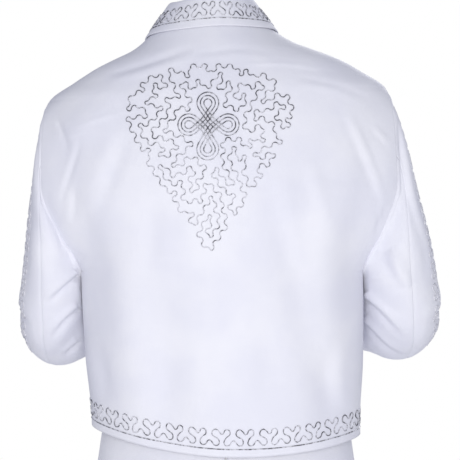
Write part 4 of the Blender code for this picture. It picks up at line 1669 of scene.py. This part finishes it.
@dataclass(frozen=True)
class ClothFinish:
    """White twill: fine diagonal ribs, uneven yarn, a faint cool mottle and a soft sheen."""

    name: str = "white_twill"
    colour: tuple[float, float, float] = (0.8, 0.805, 0.865)
    shade: tuple[float, float, float] = (0.745, 0.752, 0.835)
    rib: float = 0.001
    roughness: float = 0.62

    def make(self) -> bpy.types.Material:
        """The material."""
        shader = Shader(self.name)
        uv = shader.node("ShaderNodeUVMap", {"uv_map": "UVMap"})
        split = shader.node("ShaderNodeSeparateXYZ", {}, {"Vector": uv})
        across, down = split, Socket(shader, split.link.node.outputs["Y"])
        turns = 2 * np.pi / self.rib
        rib = ((across + down * 0.8) * turns).sine()
        yarn = (across * (turns * 1.9)).sine() * (down * (turns * 2.3)).sine()
        place = shader.place()
        slub = shader.noise(uv, 900.0, 2.0)
        mottle = shader.noise(place, 11.0, 3.0)
        fine = shader.noise(place, 70.0, 2.0)
        colour = shader.blend((mottle * 0.8 + slub * 0.2).kept(0.36, 0.66), self.shade, self.colour)
        weave = rib * 0.3 + yarn * 0.16 + slub * 0.7
        rumple = shader.bump(fine, 0.0011, 0.35)
        return shader.finish(
            {
                "Base Color": colour,
                "Roughness": self.roughness + (slub - 0.5) * 0.16 + (mottle - 0.5) * 0.1,
                "Specular IOR Level": 0.35, "Sheen Weight": 0.12, "Sheen Roughness": 0.45,
                "Normal": shader.bump(weave, 0.00016, 0.5, rumple),
            },
            self.colour,
        )


@dataclass(frozen=True)
class CordFinish:
    """Silver cord of twisted thread, brighter and duller by turns. A painted highlight brightens it below
    the knot, less so at the hem, and at the collar, standing in for the light that it catches there."""

    name: str = "silver_twist"
    bright: tuple[float, float, float] = (0.8, 0.8, 0.84)
    dull: tuple[float, float, float] = (0.09, 0.09, 0.11)
    lay: float = 0.0021
    metal: float = 0.82
    # Strength of the painted highlight; the three ranges below are the heights where it is painted
    wear: float = 0.15
    under_knot: tuple[float, float] = (-0.2, -0.08)
    at_hem: tuple[float, float] = (-0.42, -0.34)
    at_collar: tuple[float, float] = (-0.03, -0.01)
    contrast: tuple[float, float] = (0.565, 0.865)

    def make(self) -> bpy.types.Material:
        """The material."""
        shader = Shader(self.name)

        def kept(name: str) -> Socket:
            """A value that was stored on the cord."""
            return shader.node("ShaderNodeAttribute", {"attribute_name": name}, output="Fac")

        angle = kept("run") * (2 * np.pi / self.lay)
        twist = angle.sine() * kept("turn_cosine") + angle.cosine() * kept("turn_sine")
        place = shader.place()
        patch = shader.noise(place, 60.0, 2.0)
        dash = shader.noise(place, 230.0, 1.0)
        speck = shader.noise(place, 520.0, 2.0)
        height = shader.node("ShaderNodeSeparateXYZ", {}, {"Vector": place}, "Z")
        # Painted highlight: brighter by height, most below the knot, less at the hem, and again at the
        # collar
        lower = (1 - height.kept(*self.under_knot)) * (height.kept(*self.at_hem) * 0.6 + 0.4)
        painted_highlight = lower + height.kept(*self.at_collar) * 0.4
        grain = patch * 0.45 + dash * 0.75 + speck * 0.15 + twist * 0.05
        tone = (grain + painted_highlight * self.wear).kept(*self.contrast)
        return shader.finish(
            {
                "Base Color": shader.blend(tone, self.dull, self.bright), "Metallic": self.metal,
                "Roughness": 0.3 + speck * 0.22, "Normal": shader.bump(twist, 0.00022, 0.9),
            },
            self.bright,
        )


@dataclass(frozen=True)
class ThreadFinish:
    """White sewing thread, a little brighter than the cloth."""

    name: str = "white_thread"
    colour: tuple[float, float, float] = (0.84, 0.84, 0.88)

    def make(self) -> bpy.types.Material:
        """The material."""
        shader = Shader(self.name)
        speck = shader.noise(shader.place(), 1500.0, 1.0)
        tone = shader.blend(speck, (0.76, 0.76, 0.81), self.colour)
        return shader.finish(
            {"Base Color": tone, "Roughness": 0.42 + speck * 0.1, "Sheen Weight": 0.1}, self.colour
        )


@dataclass(frozen=True)
class ShellFinish:
    """Polished shell, with faint bands."""

    name: str = "polished_shell"
    colour: tuple[float, float, float] = (0.86, 0.85, 0.83)

    def make(self) -> bpy.types.Material:
        """The material."""
        shader = Shader(self.name)
        bands = shader.noise(shader.place(), 240.0, 4.0)
        tone = shader.blend(bands.kept(0.35, 0.65), (0.7, 0.72, 0.74), self.colour)
        return shader.finish(
            {"Base Color": tone, "Roughness": 0.14 + bands * 0.12, "Coat Weight": 0.5,
                "Coat Roughness": 0.08},
            self.colour,
        )


@dataclass(frozen=True)
class FloorFinish:
    """A plain pale floor."""

    name: str = "pale_floor"
    colour: tuple[float, float, float] = (0.86, 0.86, 0.87)

    def make(self) -> bpy.types.Material:
        """The material."""
        shader = Shader(self.name)
        grain = shader.noise(shader.place(), 6.0, 2.0)
        tone = shader.blend(grain, (0.84, 0.84, 0.85), self.colour)
        return shader.finish({"Base Color": tone, "Roughness": 0.9}, self.colour)


@dataclass
class Finishes:
    """Every material of the suit."""

    cloth: bpy.types.Material = field(default_factory=lambda: ClothFinish().make())
    cord: bpy.types.Material = field(default_factory=lambda: CordFinish().make())
    pale_cord: bpy.types.Material = field(
        default_factory=lambda: CordFinish("pale_twist", dull=(0.6, 0.6, 0.66), metal=0.35).make()
    )
    thread: bpy.types.Material = field(default_factory=lambda: ThreadFinish().make())
    shell: bpy.types.Material = field(default_factory=lambda: ShellFinish().make())


# Pieces


def grid_faces(rows: int, columns: int) -> Array:
    """The corners of the faces of a grid of points."""
    index = np.arange(rows * columns).reshape(rows, columns)
    corners = (index[:-1, :-1], index[:-1, 1:], index[1:, 1:], index[1:, :-1])
    return np.stack(corners, -1).reshape(-1, 4)


def settled(piece: bpy.types.Object, slot: Slot, *nodes: str) -> bpy.types.Object:
    """Makes a piece ride on the suit and stand for its nodes.

    Args:
        piece: The piece.
        slot: The finish that it would take; not used.
        nodes: The solids that it replaces.

    Returns:
        The piece.
    """
    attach(piece, "root")
    if nodes:
        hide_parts(*nodes)
    LOG.info("%s: %d faces", piece.name, len(piece.data.polygons))
    return piece


@dataclass
class Tailor:
    """Makes shells of cloth out of sheets of points."""

    finish: bpy.types.Material

    def cut(
        self, name: str, cloth: Cloth, node: str, held: Hold, rests_on: tuple[str, ...] = ()
    ) -> bpy.types.Object:
        """A shell of cloth that stands for a solid.

        Args:
            name: The piece's name.
            cloth: Its sheet of points.
            node: The solid's name.
            held: How the wearer holds it; not used.
            rests_on: What it lies on; not used.

        Returns:
            The piece.
        """
        points = cloth.points
        rows, columns = points.shape[:2]
        faces = grid_faces(rows, columns)
        raw = np.cross(np.gradient(points, axis=1), np.gradient(points, axis=0))
        if np.sum(raw * cloth.normals) < 0:
            faces = faces[:, ::-1]
        mesh = bpy.data.meshes.new(name)
        mesh.from_pydata(points.reshape(-1, 3).tolist(), [], faces.tolist())
        u = np.concatenate(
            [np.zeros((rows, 1)), np.linalg.norm(np.diff(points, axis=1), axis=-1).cumsum(1)], 1
        )
        v = np.concatenate(
            [np.zeros((1, columns)), np.linalg.norm(np.diff(points, axis=0), axis=-1).cumsum(0)]
        )
        uv = np.stack([u - u[:, -1:] / 2, v], -1).reshape(-1, 2)
        mesh.uv_layers.new(name="UVMap").data.foreach_set("uv", uv[faces.ravel()].ravel())
        mesh.materials.append(self.finish)
        mesh.shade_smooth()
        piece = bpy.data.objects.new(name, mesh)
        bpy.context.scene.collection.objects.link(piece)
        thick = piece.modifiers.new("thickness", "SOLIDIFY")
        thick.thickness = CLOTH
        thick.offset = 0
        settled(piece, Slot.CLOTH, node)
        a, b, c, d = (points.reshape(-1, 3)[faces[:, i]] for i in range(4))
        area = float(np.linalg.norm(np.cross(c - a, d - b), axis=-1).sum() / 2)
        return piece


@dataclass
class Jacket:
    """The jacket: back, fronts, collar and sleeves."""

    form: JacketForm = JacketForm()
    collar_form: CollarForm = CollarForm()
    back_creases: tuple[Crease, ...] = (
        Crease(((0.2319, -0.209), (0.2198, -0.2563), (0.2063, -0.2887), (0.1847, -0.3211)), 0.0055, 0.0036),
        Crease(((0.1794, -0.142), (0.1899, -0.1775), (0.207, -0.2236)), 0.004, 0.0015),
        Crease(((0.1873, -0.2078), (0.1886, -0.2314), (0.1912, -0.2551)), 0.005, 0.0013),
        Crease(((0.1162, -0.1354), (0.1347, -0.1841), (0.157, -0.2472)), 0.012, 0.0026),
        Crease(((0.1439, -0.0552), (0.086, -0.0395), (0.0308, -0.021)), 0.006, 0.0024),
        Crease(((0.1859, -0.1289), (0.1517, -0.1157), (0.1176, -0.1065)), 0.003, -0.0007),
        Crease(((0.2044, -0.1433), (0.1833, -0.1354), (0.1623, -0.1289)), 0.0028, -0.0006),
        Crease(((0.2044, -0.1315), (0.1728, -0.1184), (0.136, -0.0999)), 0.024, -0.0048, swell=0.0),
        Crease(((0.2122, -0.1184), (0.1965, -0.1447)), 0.0045, 0.0014),
        Crease(((0.086, -0.2183), (0.0834, -0.2696), (0.0886, -0.3222)), 0.013, 0.0018),
        Crease(((-0.177, -0.1091), (-0.2033, -0.1657), (-0.2283, -0.2314)), 0.0056, -0.002),
        Crease(((-0.1257, -0.171), (-0.1376, -0.217), (-0.1494, -0.263)), 0.01, -0.0016),
        Crease(((-0.0863, -0.192), (-0.0981, -0.2433), (-0.1152, -0.313)), 0.012, -0.0021),
        Crease(((-0.2112, -0.1262), (-0.2375, -0.1499)), 0.0034, -0.0017),
        Crease(((-0.227, -0.2328), (-0.2243, -0.2551)), 0.0028, 0.0012),
        Crease(((-0.2283, -0.2393), (-0.2414, -0.2485)), 0.0026, 0.001),
        Crease(((-0.2204, -0.2446), (-0.2151, -0.2683)), 0.0034, 0.0013),
        Crease(((-0.0402, -0.0434), (-0.0915, -0.0421), (-0.1428, -0.0473)), 0.003, -0.0006),
        Crease(((-0.1112, -0.0605), (-0.1638, -0.071), (-0.2059, -0.0881)), 0.0045, 0.0009),
        Crease(((0.0255, -0.0289), (-0.0323, -0.0224), (-0.0797, -0.0289)), 0.0045, 0.0007),
        Crease(((0.1636, -0.4077), (0.1517, -0.4497), (0.1465, -0.4931)), 0.011, 0.0026, fade_in=0.5),
        Crease(((-0.1691, -0.4142), (-0.1638, -0.4603), (-0.1717, -0.5023)), 0.011, -0.0026, fade_in=0.5),
        Crease(((0.0755, -0.4208), (0.065, -0.4668), (0.0728, -0.5129)), 0.017, 0.0018, fade_in=0.6),
        Crease(((-0.0613, -0.355), (-0.0692, -0.434), (-0.06, -0.5063)), 0.019, 0.002, fade_in=0.6),
    )
    front_creases: tuple[Crease, ...] = (
        Crease(((0.2, -0.135), (0.185, -0.18), (0.18, -0.235)), 0.01, 0.0034, facing=(0, -1, 0)),
        Crease(((-0.206, -0.128), (-0.19, -0.172), (-0.186, -0.228)), 0.009, -0.0034, facing=(0, -1, 0)),
        Crease(((0.15, -0.21), (0.133, -0.27), (0.125, -0.345)), 0.012, 0.0026, facing=(0, -1, 0)),
        Crease(((-0.156, -0.2), (-0.14, -0.262), (-0.13, -0.33)), 0.012, -0.0026, facing=(0, -1, 0)),
        Crease(((0.09, -0.33), (0.096, -0.43), (0.088, -0.53)), 0.015, 0.0026, facing=(0, -1, 0)),
        Crease(((-0.106, -0.34), (-0.112, -0.44), (-0.102, -0.53)), 0.015, -0.0026, facing=(0, -1, 0)),
        Crease(((0.145, -0.09), (0.165, -0.105)), 0.005, 0.0012, facing=(0, -1, 0)),
        Crease(((-0.135, -0.08), (-0.16, -0.096)), 0.005, 0.0012, facing=(0, -1, 0)),
        Crease(((0.042, -0.24), (0.05, -0.33)), 0.012, 0.0018, facing=(0, -1, 0)),
        Crease(((-0.056, -0.23), (-0.064, -0.32)), 0.012, -0.0018, facing=(0, -1, 0)),
    )
    left_creases: tuple[Crease, ...] = (
        Crease(((0.186, -0.3247), (0.2069, -0.3438), (0.2274, -0.3616)), 0.0042, 0.0052, fade_in=0.02),
        Crease(((0.186, -0.37), (0.205, -0.388), (0.2247, -0.4096)), 0.004, 0.005, fade_in=0.02),
        Crease(((0.188, -0.418), (0.21, -0.436)), 0.0036, 0.004, fade_in=0.02),
        Crease(((0.25, -0.21), (0.256, -0.28), (0.262, -0.35)), 0.008, 0.0027),
        Crease(((0.236, -0.14), (0.242, -0.17), (0.244, -0.205)), 0.005, -0.0027),
        Crease(((0.233, -0.23), (0.224, -0.27), (0.21, -0.3)), 0.008, -0.0036),
    )
    right_creases: tuple[Crease, ...] = (
        Crease(((-0.205, -0.35), (-0.2303, -0.3734), (-0.2607, -0.4065)), 0.0044, -0.0052, fade_in=0.02),
        Crease(((-0.205, -0.383), (-0.2386, -0.4176), (-0.2648, -0.4327)), 0.004, -0.005, fade_in=0.02),
        Crease(((-0.206, -0.413), (-0.2165, -0.43)), 0.0034, -0.0036, fade_in=0.02),
        Crease(((-0.2345, -0.2892), (-0.251, -0.3237), (-0.2621, -0.3389)), 0.008, -0.0054),
        Crease(
            ((-0.2425, -0.09), (-0.247, -0.1123), (-0.2562, -0.1629), (-0.264, -0.2109), (-0.2754, -0.2493),
             (-0.288, -0.289), (-0.293, -0.33)),
            0.0045, -0.0022, 0.9,
        ),
        Crease(((-0.239, -0.1384), (-0.244, -0.155), (-0.244, -0.185)), 0.005, 0.0033),
    )

    def arm_creases(self, side: Side) -> list[Crease]:
        """A sleeve's creases: those that show from the back, and similar ones inside the bend and at its
        outer side."""
        seen = list(self.left_creases if side is Side.LEFT else self.right_creases)
        sign = side.value
        inner = [
            Crease(((sign * 0.262, -0.33), (sign * 0.236, -0.338), (sign * 0.212, -0.332)), 0.0075,
                0.004 * sign, facing=(0, -1, 0)),
            Crease(((sign * 0.258, -0.352), (sign * 0.23, -0.358), (sign * 0.204, -0.35)), 0.007,
                0.0038 * sign, facing=(0, -1, 0)),
            Crease(((sign * 0.248, -0.29), (sign * 0.228, -0.306)), 0.008, 0.003 * sign, facing=(0, -1, 0)),
        ]
        # Seen from the side: y and level
        outer = [
            Crease(((-0.06, -0.33), (-0.02, -0.372), (0.02, -0.392)), 0.009, 0.003, facing=(sign, 0, 0)),
            Crease(((-0.095, -0.352), (-0.07, -0.392), (-0.04, -0.42)), 0.008, 0.0034, facing=(sign, 0, 0)),
            Crease(((-0.06, -0.15), (-0.05, -0.21), (-0.056, -0.27)), 0.011, 0.0026, facing=(sign, 0, 0)),
            Crease(((-0.16, -0.345), (-0.15, -0.385), (-0.158, -0.415)), 0.008, 0.0026, facing=(sign, 0,
                0)),
            Crease(((-0.205, -0.338), (-0.196, -0.37), (-0.206, -0.402)), 0.007, 0.002, facing=(sign, 0,
                0)),
        ]
        return seen + inner + outer

    def make(self, tailor: Tailor) -> None:
        """Builds the jacket's cloth.

        Args:
            tailor: Who makes the shells.
        """
        back_creases = list(self.back_creases)
        front_creases = list(self.front_creases)
        self.back = self.form.back(back_creases)
        self.left = self.form.front(Side.LEFT, front_creases)
        self.right = self.form.front(Side.RIGHT, front_creases)
        self.body = Surface([self.back, self.left, self.right])
        self.back_only = Surface([self.back])
        tailor.cut("back_panel", self.back, "jacket_back", Hold.DRAPED)
        tailor.cut("front_panel_left", self.left, "jacket_front_left", Hold.DRAPED, ("back_panel",))
        tailor.cut("front_panel_right", self.right, "jacket_front_right", Hold.DRAPED, ("back_panel",))
        self.collar = self.collar_form.sheet(
            self.back, self.left, self.right, self.body, self.form.rows_above
        )
        tailor.cut("collar_cloth", self.collar, "collar", Hold.FOLDED, ("back_panel",))
        self.sleeves = {}
        for side in Side:
            form = SleeveForm(self.form, side)
            whole = form.whole(self.arm_creases(side))
            split = form.turns()[1]
            self.sleeves[side] = (form, whole, split)
            for word, part in (("top", slice(None, split + 1)), ("under", slice(split, None))):
                sheet = Cloth(whole.points[:, part], whole.centre)
                tailor.cut(f"sleeve_cloth_{side.word}_{word}", sheet, f"sleeve_{side.word}_{word}",
                    Hold.HUNG, ("back_panel",))

    def hem_band(self) -> Band:
        """The strip along the hem, from the left front's corner round the back to the right one's."""
        rows = slice(0, 22)
        sheets = (self.left, self.back, self.right)
        points = [sheet.points[rows] for sheet in sheets]
        normals = [sheet.normals[rows] for sheet in sheets]

        def joined(parts: list[Array]) -> Array:
            """The three strips end to end."""
            return np.concatenate([parts[0], parts[1][:, ::-1][:, 1:-1], parts[2][:, ::-1]], 1)

        return Band(joined(points), joined(normals))

    def edge_band(self, side: Side) -> Band:
        """The strip up a front's open edge, from the hem."""
        sheet = self.left if side is Side.LEFT else self.right
        rows = slice(0, -6)
        return Band(sheet.points[rows, :14].transpose(1, 0, 2), sheet.normals[rows, :14].transpose(1, 0, 2))

    def collar_band(self) -> Band:
        """The collar's fall, from its edge up to its fold."""
        top = self.collar_form.fold_row()
        return Band(self.collar.points[top:][::-1], self.collar.normals[top:][::-1])

    def sleeve_band(self, side: Side) -> Band:
        """The strip down a sleeve's outer side, a little to the back, from the shoulder to the cuff."""
        form, whole, _ = self.sleeves[side]
        turns = form.turns()[0]
        chosen = np.flatnonzero((turns > 2) & (turns < 54))
        points = whole.points[3:-8, chosen].transpose(1, 0, 2)
        return Band(points, whole.normals[3:-8, chosen].transpose(1, 0, 2))


@dataclass
class Trousers:
    """The trousers: legs, waistband, fly and button."""

    form: TrouserForm = TrouserForm()
    legs: dict = field(default_factory=dict)
    creases: tuple[Crease, ...] = (
        Crease(((0.04, -0.7), (0.075, -0.74), (0.12, -0.76)), 0.011, 0.004),
        Crease(((-0.066, -0.7), (-0.1, -0.742), (-0.15, -0.756)), 0.011, -0.004),
        Crease(((0.02, -0.725), (0.06, -0.79), (0.09, -0.86)), 0.013, 0.0034),
        Crease(((-0.046, -0.722), (-0.085, -0.785), (-0.118, -0.85)), 0.013, -0.0034),
        Crease(((0.06, -1.02), (0.1, -1.05), (0.145, -1.045)), 0.014, 0.0034),
        Crease(((-0.08, -1.03), (-0.12, -1.062), (-0.165, -1.052)), 0.014, -0.0034),
        Crease(((0.07, -1.08), (0.11, -1.12)), 0.012, 0.0026),
        Crease(((-0.09, -1.085), (-0.13, -1.13)), 0.012, -0.0026),
        Crease(((0.06, -1.4), (0.1, -1.425), (0.14, -1.41)), 0.012, 0.0036),
        Crease(((-0.085, -1.395), (-0.125, -1.422), (-0.168, -1.408)), 0.012, -0.0036),
        Crease(((0.11, -0.52), (0.12, -0.6), (0.115, -0.69)), 0.018, 0.0022),
        Crease(((0.14, -0.5), (0.1395, -0.56), (0.137, -0.68)), 0.0035, 0.003),
        Crease(((-0.156, -0.5), (-0.158, -0.57), (-0.16, -0.69)), 0.0035, -0.002),
        Crease(((-0.13, -0.52), (-0.14, -0.6), (-0.136, -0.69)), 0.018, -0.0022),
    )

    def make(self, tailor: Tailor) -> None:
        """Builds the trousers' cloth.

        Args:
            tailor: Who makes the shells.
        """
        behind = list(self.creases)
        before = mirrored(self.creases, 0.018)
        for side in Side:
            for back, word in ((True, "back"), (False, "front")):
                leg = self.form.leg(side, back, behind if back else before)
                self.legs[side, back] = leg
                name = f"trouser_cloth_{word}_{side.word}"
                tailor.cut(name, leg, f"trouser_{word}_{side.word}", Hold.HUNG, ("waistband_cloth",))
        self.band = self.form.waistband()
        tailor.cut("waistband_cloth", self.band, "waistband", Hold.HUNG)
        self.fly = self.form.fly(self.legs[Side.LEFT, False])
        tailor.cut("fly_cloth", self.fly, "fly", Hold.HUNG, ("trouser_cloth_front_left",))

    def button(self, shell: bpy.types.Material) -> None:
        """A turned shell button with a raised rim and a dished middle.

        Args:
            shell: Its material.
        """
        low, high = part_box("waistband_button")
        centre = (low + high) / 2
        radius, depth = (high.x - low.x) / 2, (high.y - low.y) / 2
        profile = ((0.0, 0.45), (0.5, 0.45), (0.62, 0.62), (0.8, 1.0), (0.92, 0.95), (1.0, 0.55),
            (1.0, -0.4), (0.9, -1.0),
                   (0.0, -1.0))
        count = 40
        points = []
        for share, level in profile:
            for turn in np.linspace(0, 2 * np.pi, count, endpoint=False):
                points.append(
                    (
                        centre.x + radius * share * np.cos(turn), centre.y - depth * level,
                        centre.z + radius * share * np.sin(turn),
                    )
                )
        index = np.arange(len(points)).reshape(len(profile), count)
        ahead = np.roll(index, -1, 1)
        faces = np.stack([index[:-1], index[1:], ahead[1:], ahead[:-1]], -1).reshape(-1, 4)
        mesh = bpy.data.meshes.new("waist_button")
        mesh.from_pydata(points, [], faces.tolist())
        piece = bpy.data.objects.new("waist_button", mesh)
        bpy.context.scene.collection.objects.link(piece)
        bm = bmesh.new()
        bm.from_mesh(mesh)
        bmesh.ops.remove_doubles(bm, verts=bm.verts, dist=1e-6)
        bmesh.ops.recalc_face_normals(bm, faces=bm.faces)
        bm.to_mesh(mesh)
        bm.free()
        mesh.materials.append(shell)
        mesh.shade_smooth()
        settled(piece, Slot.SHELL, "waistband_button")


@dataclass
class CordWork:
    """The silver cords: the lines along the border and the collar, the meanders, the ornament and its
    knot."""

    finish: bpy.types.Material
    pale: bpy.types.Material
    radius: float = 0.00072
    lift: float = 0.0013
    knot: Knot = Knot()
    meander: Meander = Meander()

    def lay(self, name: str, lines: list[tuple[Array, bool]], *nodes: str, pale: bool = False) -> None:
        """Lays a cord along lines."""
        settled(self.tree.run(name, lines, self.pale if pale else self.finish), Slot.CORD, *nodes)

    def make(self, jacket: Jacket) -> None:
        """Builds all the cords of the jacket.

        Args:
            jacket: The jacket that they lie on.
        """
        self.tree = cord_tree(self.radius, 0.22)
        hem = jacket.hem_band()
        edges = {side: jacket.edge_band(side) for side in Side}
        rise = {
            side: edges[side].level_line(0.0105, self.lift, 0.0105 / edges[side].length,
                0.93) for side in Side
        }
        for side in Side:
            rise[side] = rise[side][rise[side][:, 2] < -0.135]
        along_hem = hem.level_line(0.0105, self.lift, 0.0105 / hem.length, 1 - 0.0105 / hem.length)
        border = np.concatenate([rise[Side.LEFT][::-1], along_hem, rise[Side.RIGHT]])
        self.lay("border_cord_line", [(evened(border, 0.0025, passes=2), False)], "border_cord")
        collar = jacket.collar_band()
        self.lay(
            "collar_cord_line",
            [(evened(collar.level_line(0.0112, self.lift, 0.01, 0.99), 0.0025, passes=1), False)],
            "collar_cord",
        )
        self.lay("hem_meander", [(hem.place(self.meander.line(hem.length, 0.015), self.lift), False)])
        small = Meander(0.0265, 0.0205)
        self.lay("collar_meander", [(collar.place(small.line(collar.length, 0.015), self.lift), False)])
        for side in Side:
            band = jacket.sleeve_band(side)
            middle = float(band.rise[-1].mean()) / 2
            line = self.meander.line(band.length, middle - self.meander.height / 2)
            self.lay(f"sleeve_meander_{side.word}", [(band.place(line, self.lift), False)], pale=True)
        back = jacket.back_only
        wander = Vermicelli(self.knot).cords()
        self.lay("back_ornament", [(back.on_back(line, self.lift), True) for line in wander])
        strands = [(back.on_back(line, self.lift + high), True) for line, high in self.knot.strands()]
        self.lay("back_knot", strands)


@dataclass
class Sewing:
    """Rows of stitches along the edges."""

    finish: bpy.types.Material
    lift: float = 0.00095

    def sew(self, name: str, lines: list[Array]) -> None:
        """Sews along lines."""
        piece = self.tree.run(name, [(line, False) for line in lines], self.finish)
        settled(piece, Slot.CLOTH)

    def make(self, jacket: Jacket, trousers: Trousers) -> None:
        """Sews the suit's edges.

        Args:
            jacket: The jacket.
            trousers: The trousers.
        """
        self.tree = stitch_tree(0.0032, 0.0026, 0.00024)
        hem = jacket.hem_band()
        self.sew("hem_stitches", [hem.level_line(0.005, self.lift, 0.004, 0.996)])
        self.sew("collar_stitches", [jacket.collar_band().level_line(0.0045, self.lift, 0.01, 0.99)])
        fronts = [jacket.edge_band(side).level_line(0.0045, self.lift, 0.01, 0.97) for side in Side]
        self.sew("front_stitches", fronts)
        cuffs = []
        for side in Side:
            whole = jacket.sleeves[side][1]
            band = Band(whole.points[::-1][:12], whole.normals[::-1][:12])
            cuffs += [band.level_line(0.012, self.lift), band.level_line(0.0165, self.lift)]
        self.sew("cuff_stitches", cuffs)
        legs = []
        for sheet in trousers.legs.values():
            band = Band(sheet.points[::-1][:12], sheet.normals[::-1][:12])
            legs.append(band.level_line(0.03, self.lift, 0.02, 0.98))
        self.sew("trouser_hem_stitches", legs)
        band = Band(trousers.band.points, trousers.band.normals)
        self.sew(
            "waistband_stitches", [band.level_line(t, self.lift, 0.002, 0.998) for t in (0.0035, 0.036)]
        )
        fly = trousers.fly
        inner = Band(fly.points[:, ::-1].transpose(1, 0, 2), fly.normals[:, ::-1].transpose(1, 0, 2))
        self.sew("fly_stitches", [inner.level_line(t, self.lift, 0.01, 0.97) for t in (0.003, 0.0075)])


@dataclass(frozen=True)
class Lamp:
    """A soft square light that faces a point."""

    name: str
    place: tuple[float, float, float]
    target: tuple[float, float, float]
    size: float
    power: float
    colour: tuple[float, float, float] = (1, 1, 1)

    def hang(self) -> None:
        """Adds the light."""
        light = bpy.data.lights.new(self.name, "AREA")
        light.size, light.energy, light.color = self.size, self.power, self.colour
        lamp = bpy.data.objects.new(self.name, light)
        lamp.location = self.place
        way = Vector(self.target) - Vector(self.place)
        lamp.rotation_euler = way.to_track_quat("-Z", "Y").to_euler()
        bpy.context.scene.collection.objects.link(lamp)


@dataclass
class Studio:
    """The floor, the lights, the pale surroundings and the camera."""

    camera_place: tuple[float, float, float] = (-0.0192, 3.0, -0.263)
    lens: float = 171.4
    floor_level: float = -1.486
    ambient: tuple[float, float, float] = (0.8, 0.82, 0.93)
    ambient_strength: float = 0.58
    lamps: tuple[Lamp, ...] = (
        Lamp("key", (-0.04, 2.8, -0.38), (-0.02, 0.1, -0.32), 1.1, 42.5, (1.0, 0.982, 0.935)),
        Lamp("front_fill", (-0.9, -2.8, 0.7), (0.0, 0.0, -0.5), 1.6, 44),
    )

    def surroundings(self) -> None:
        """A white backdrop that lights the suit more softly than it shows."""
        world = bpy.data.worlds.new("studio")
        world.use_nodes = True
        bpy.context.scene.world = world
        graph = Graph(world.node_tree)
        graph.tree.nodes.clear()
        light = graph.node(
            "ShaderNodeBackground", {}, {"Color": (*self.ambient, 1), "Strength": self.ambient_strength}
        )
        shown = graph.node("ShaderNodeBackground", {}, {"Color": (1, 1, 1, 1), "Strength": 1.0})
        seen = graph.node("ShaderNodeLightPath", output="Is Camera Ray")
        both = graph.node("ShaderNodeMixShader", {}, {0: seen, 1: light, 2: shown})
        graph.tree.links.new(both.link, graph.tree.nodes.new("ShaderNodeOutputWorld").inputs[0])

    def floor(self) -> None:
        """A pale round floor under the suit."""
        count, radius = 96, 3.2
        turns = np.linspace(0, 2 * np.pi, count, endpoint=False)
        ring = [(radius * np.cos(t), radius * np.sin(t), self.floor_level) for t in turns]
        mesh = bpy.data.meshes.new("studio_floor")
        mesh.from_pydata(ring, [], [list(range(count))])
        mesh.materials.append(FloorFinish().make())
        piece = bpy.data.objects.new("studio_floor", mesh)
        bpy.context.scene.collection.objects.link(piece)

    def camera(self) -> None:
        """The camera, level and square to the wearer's back."""
        data = bpy.data.cameras.new("camera")
        data.lens, data.sensor_width, data.sensor_fit = self.lens, 36, "HORIZONTAL"
        data.dof.use_dof = False
        eye = bpy.data.objects.new("camera", data)
        eye.location = self.camera_place
        eye.rotation_euler = (np.pi / 2, 0, np.pi)
        bpy.context.scene.collection.objects.link(eye)
        bpy.context.scene.camera = eye

    def set_up(self) -> None:
        """Sets up everything round the suit."""
        self.surroundings()
        self.floor()
        self.camera()
        for lamp in self.lamps:
            lamp.hang()
        view = bpy.context.scene.view_settings
        view.view_transform, view.look, view.exposure, view.gamma = "Standard", "None", 0.0, 1.0


def main() -> None:
    """Builds the suit and its studio."""
    logging.basicConfig(level=logging.INFO, format="%(message)s")
    finishes = Finishes()
    tailor = Tailor(finishes.cloth)
    jacket = Jacket()
    jacket.make(tailor)
    trousers = Trousers()
    trousers.make(tailor)
    trousers.button(finishes.shell)
    CordWork(finishes.cord, finishes.pale_cord).make(jacket)
    Sewing(finishes.thread).make(jacket, trousers)
    Studio().set_up()


if __name__ == "__main__":
    main()
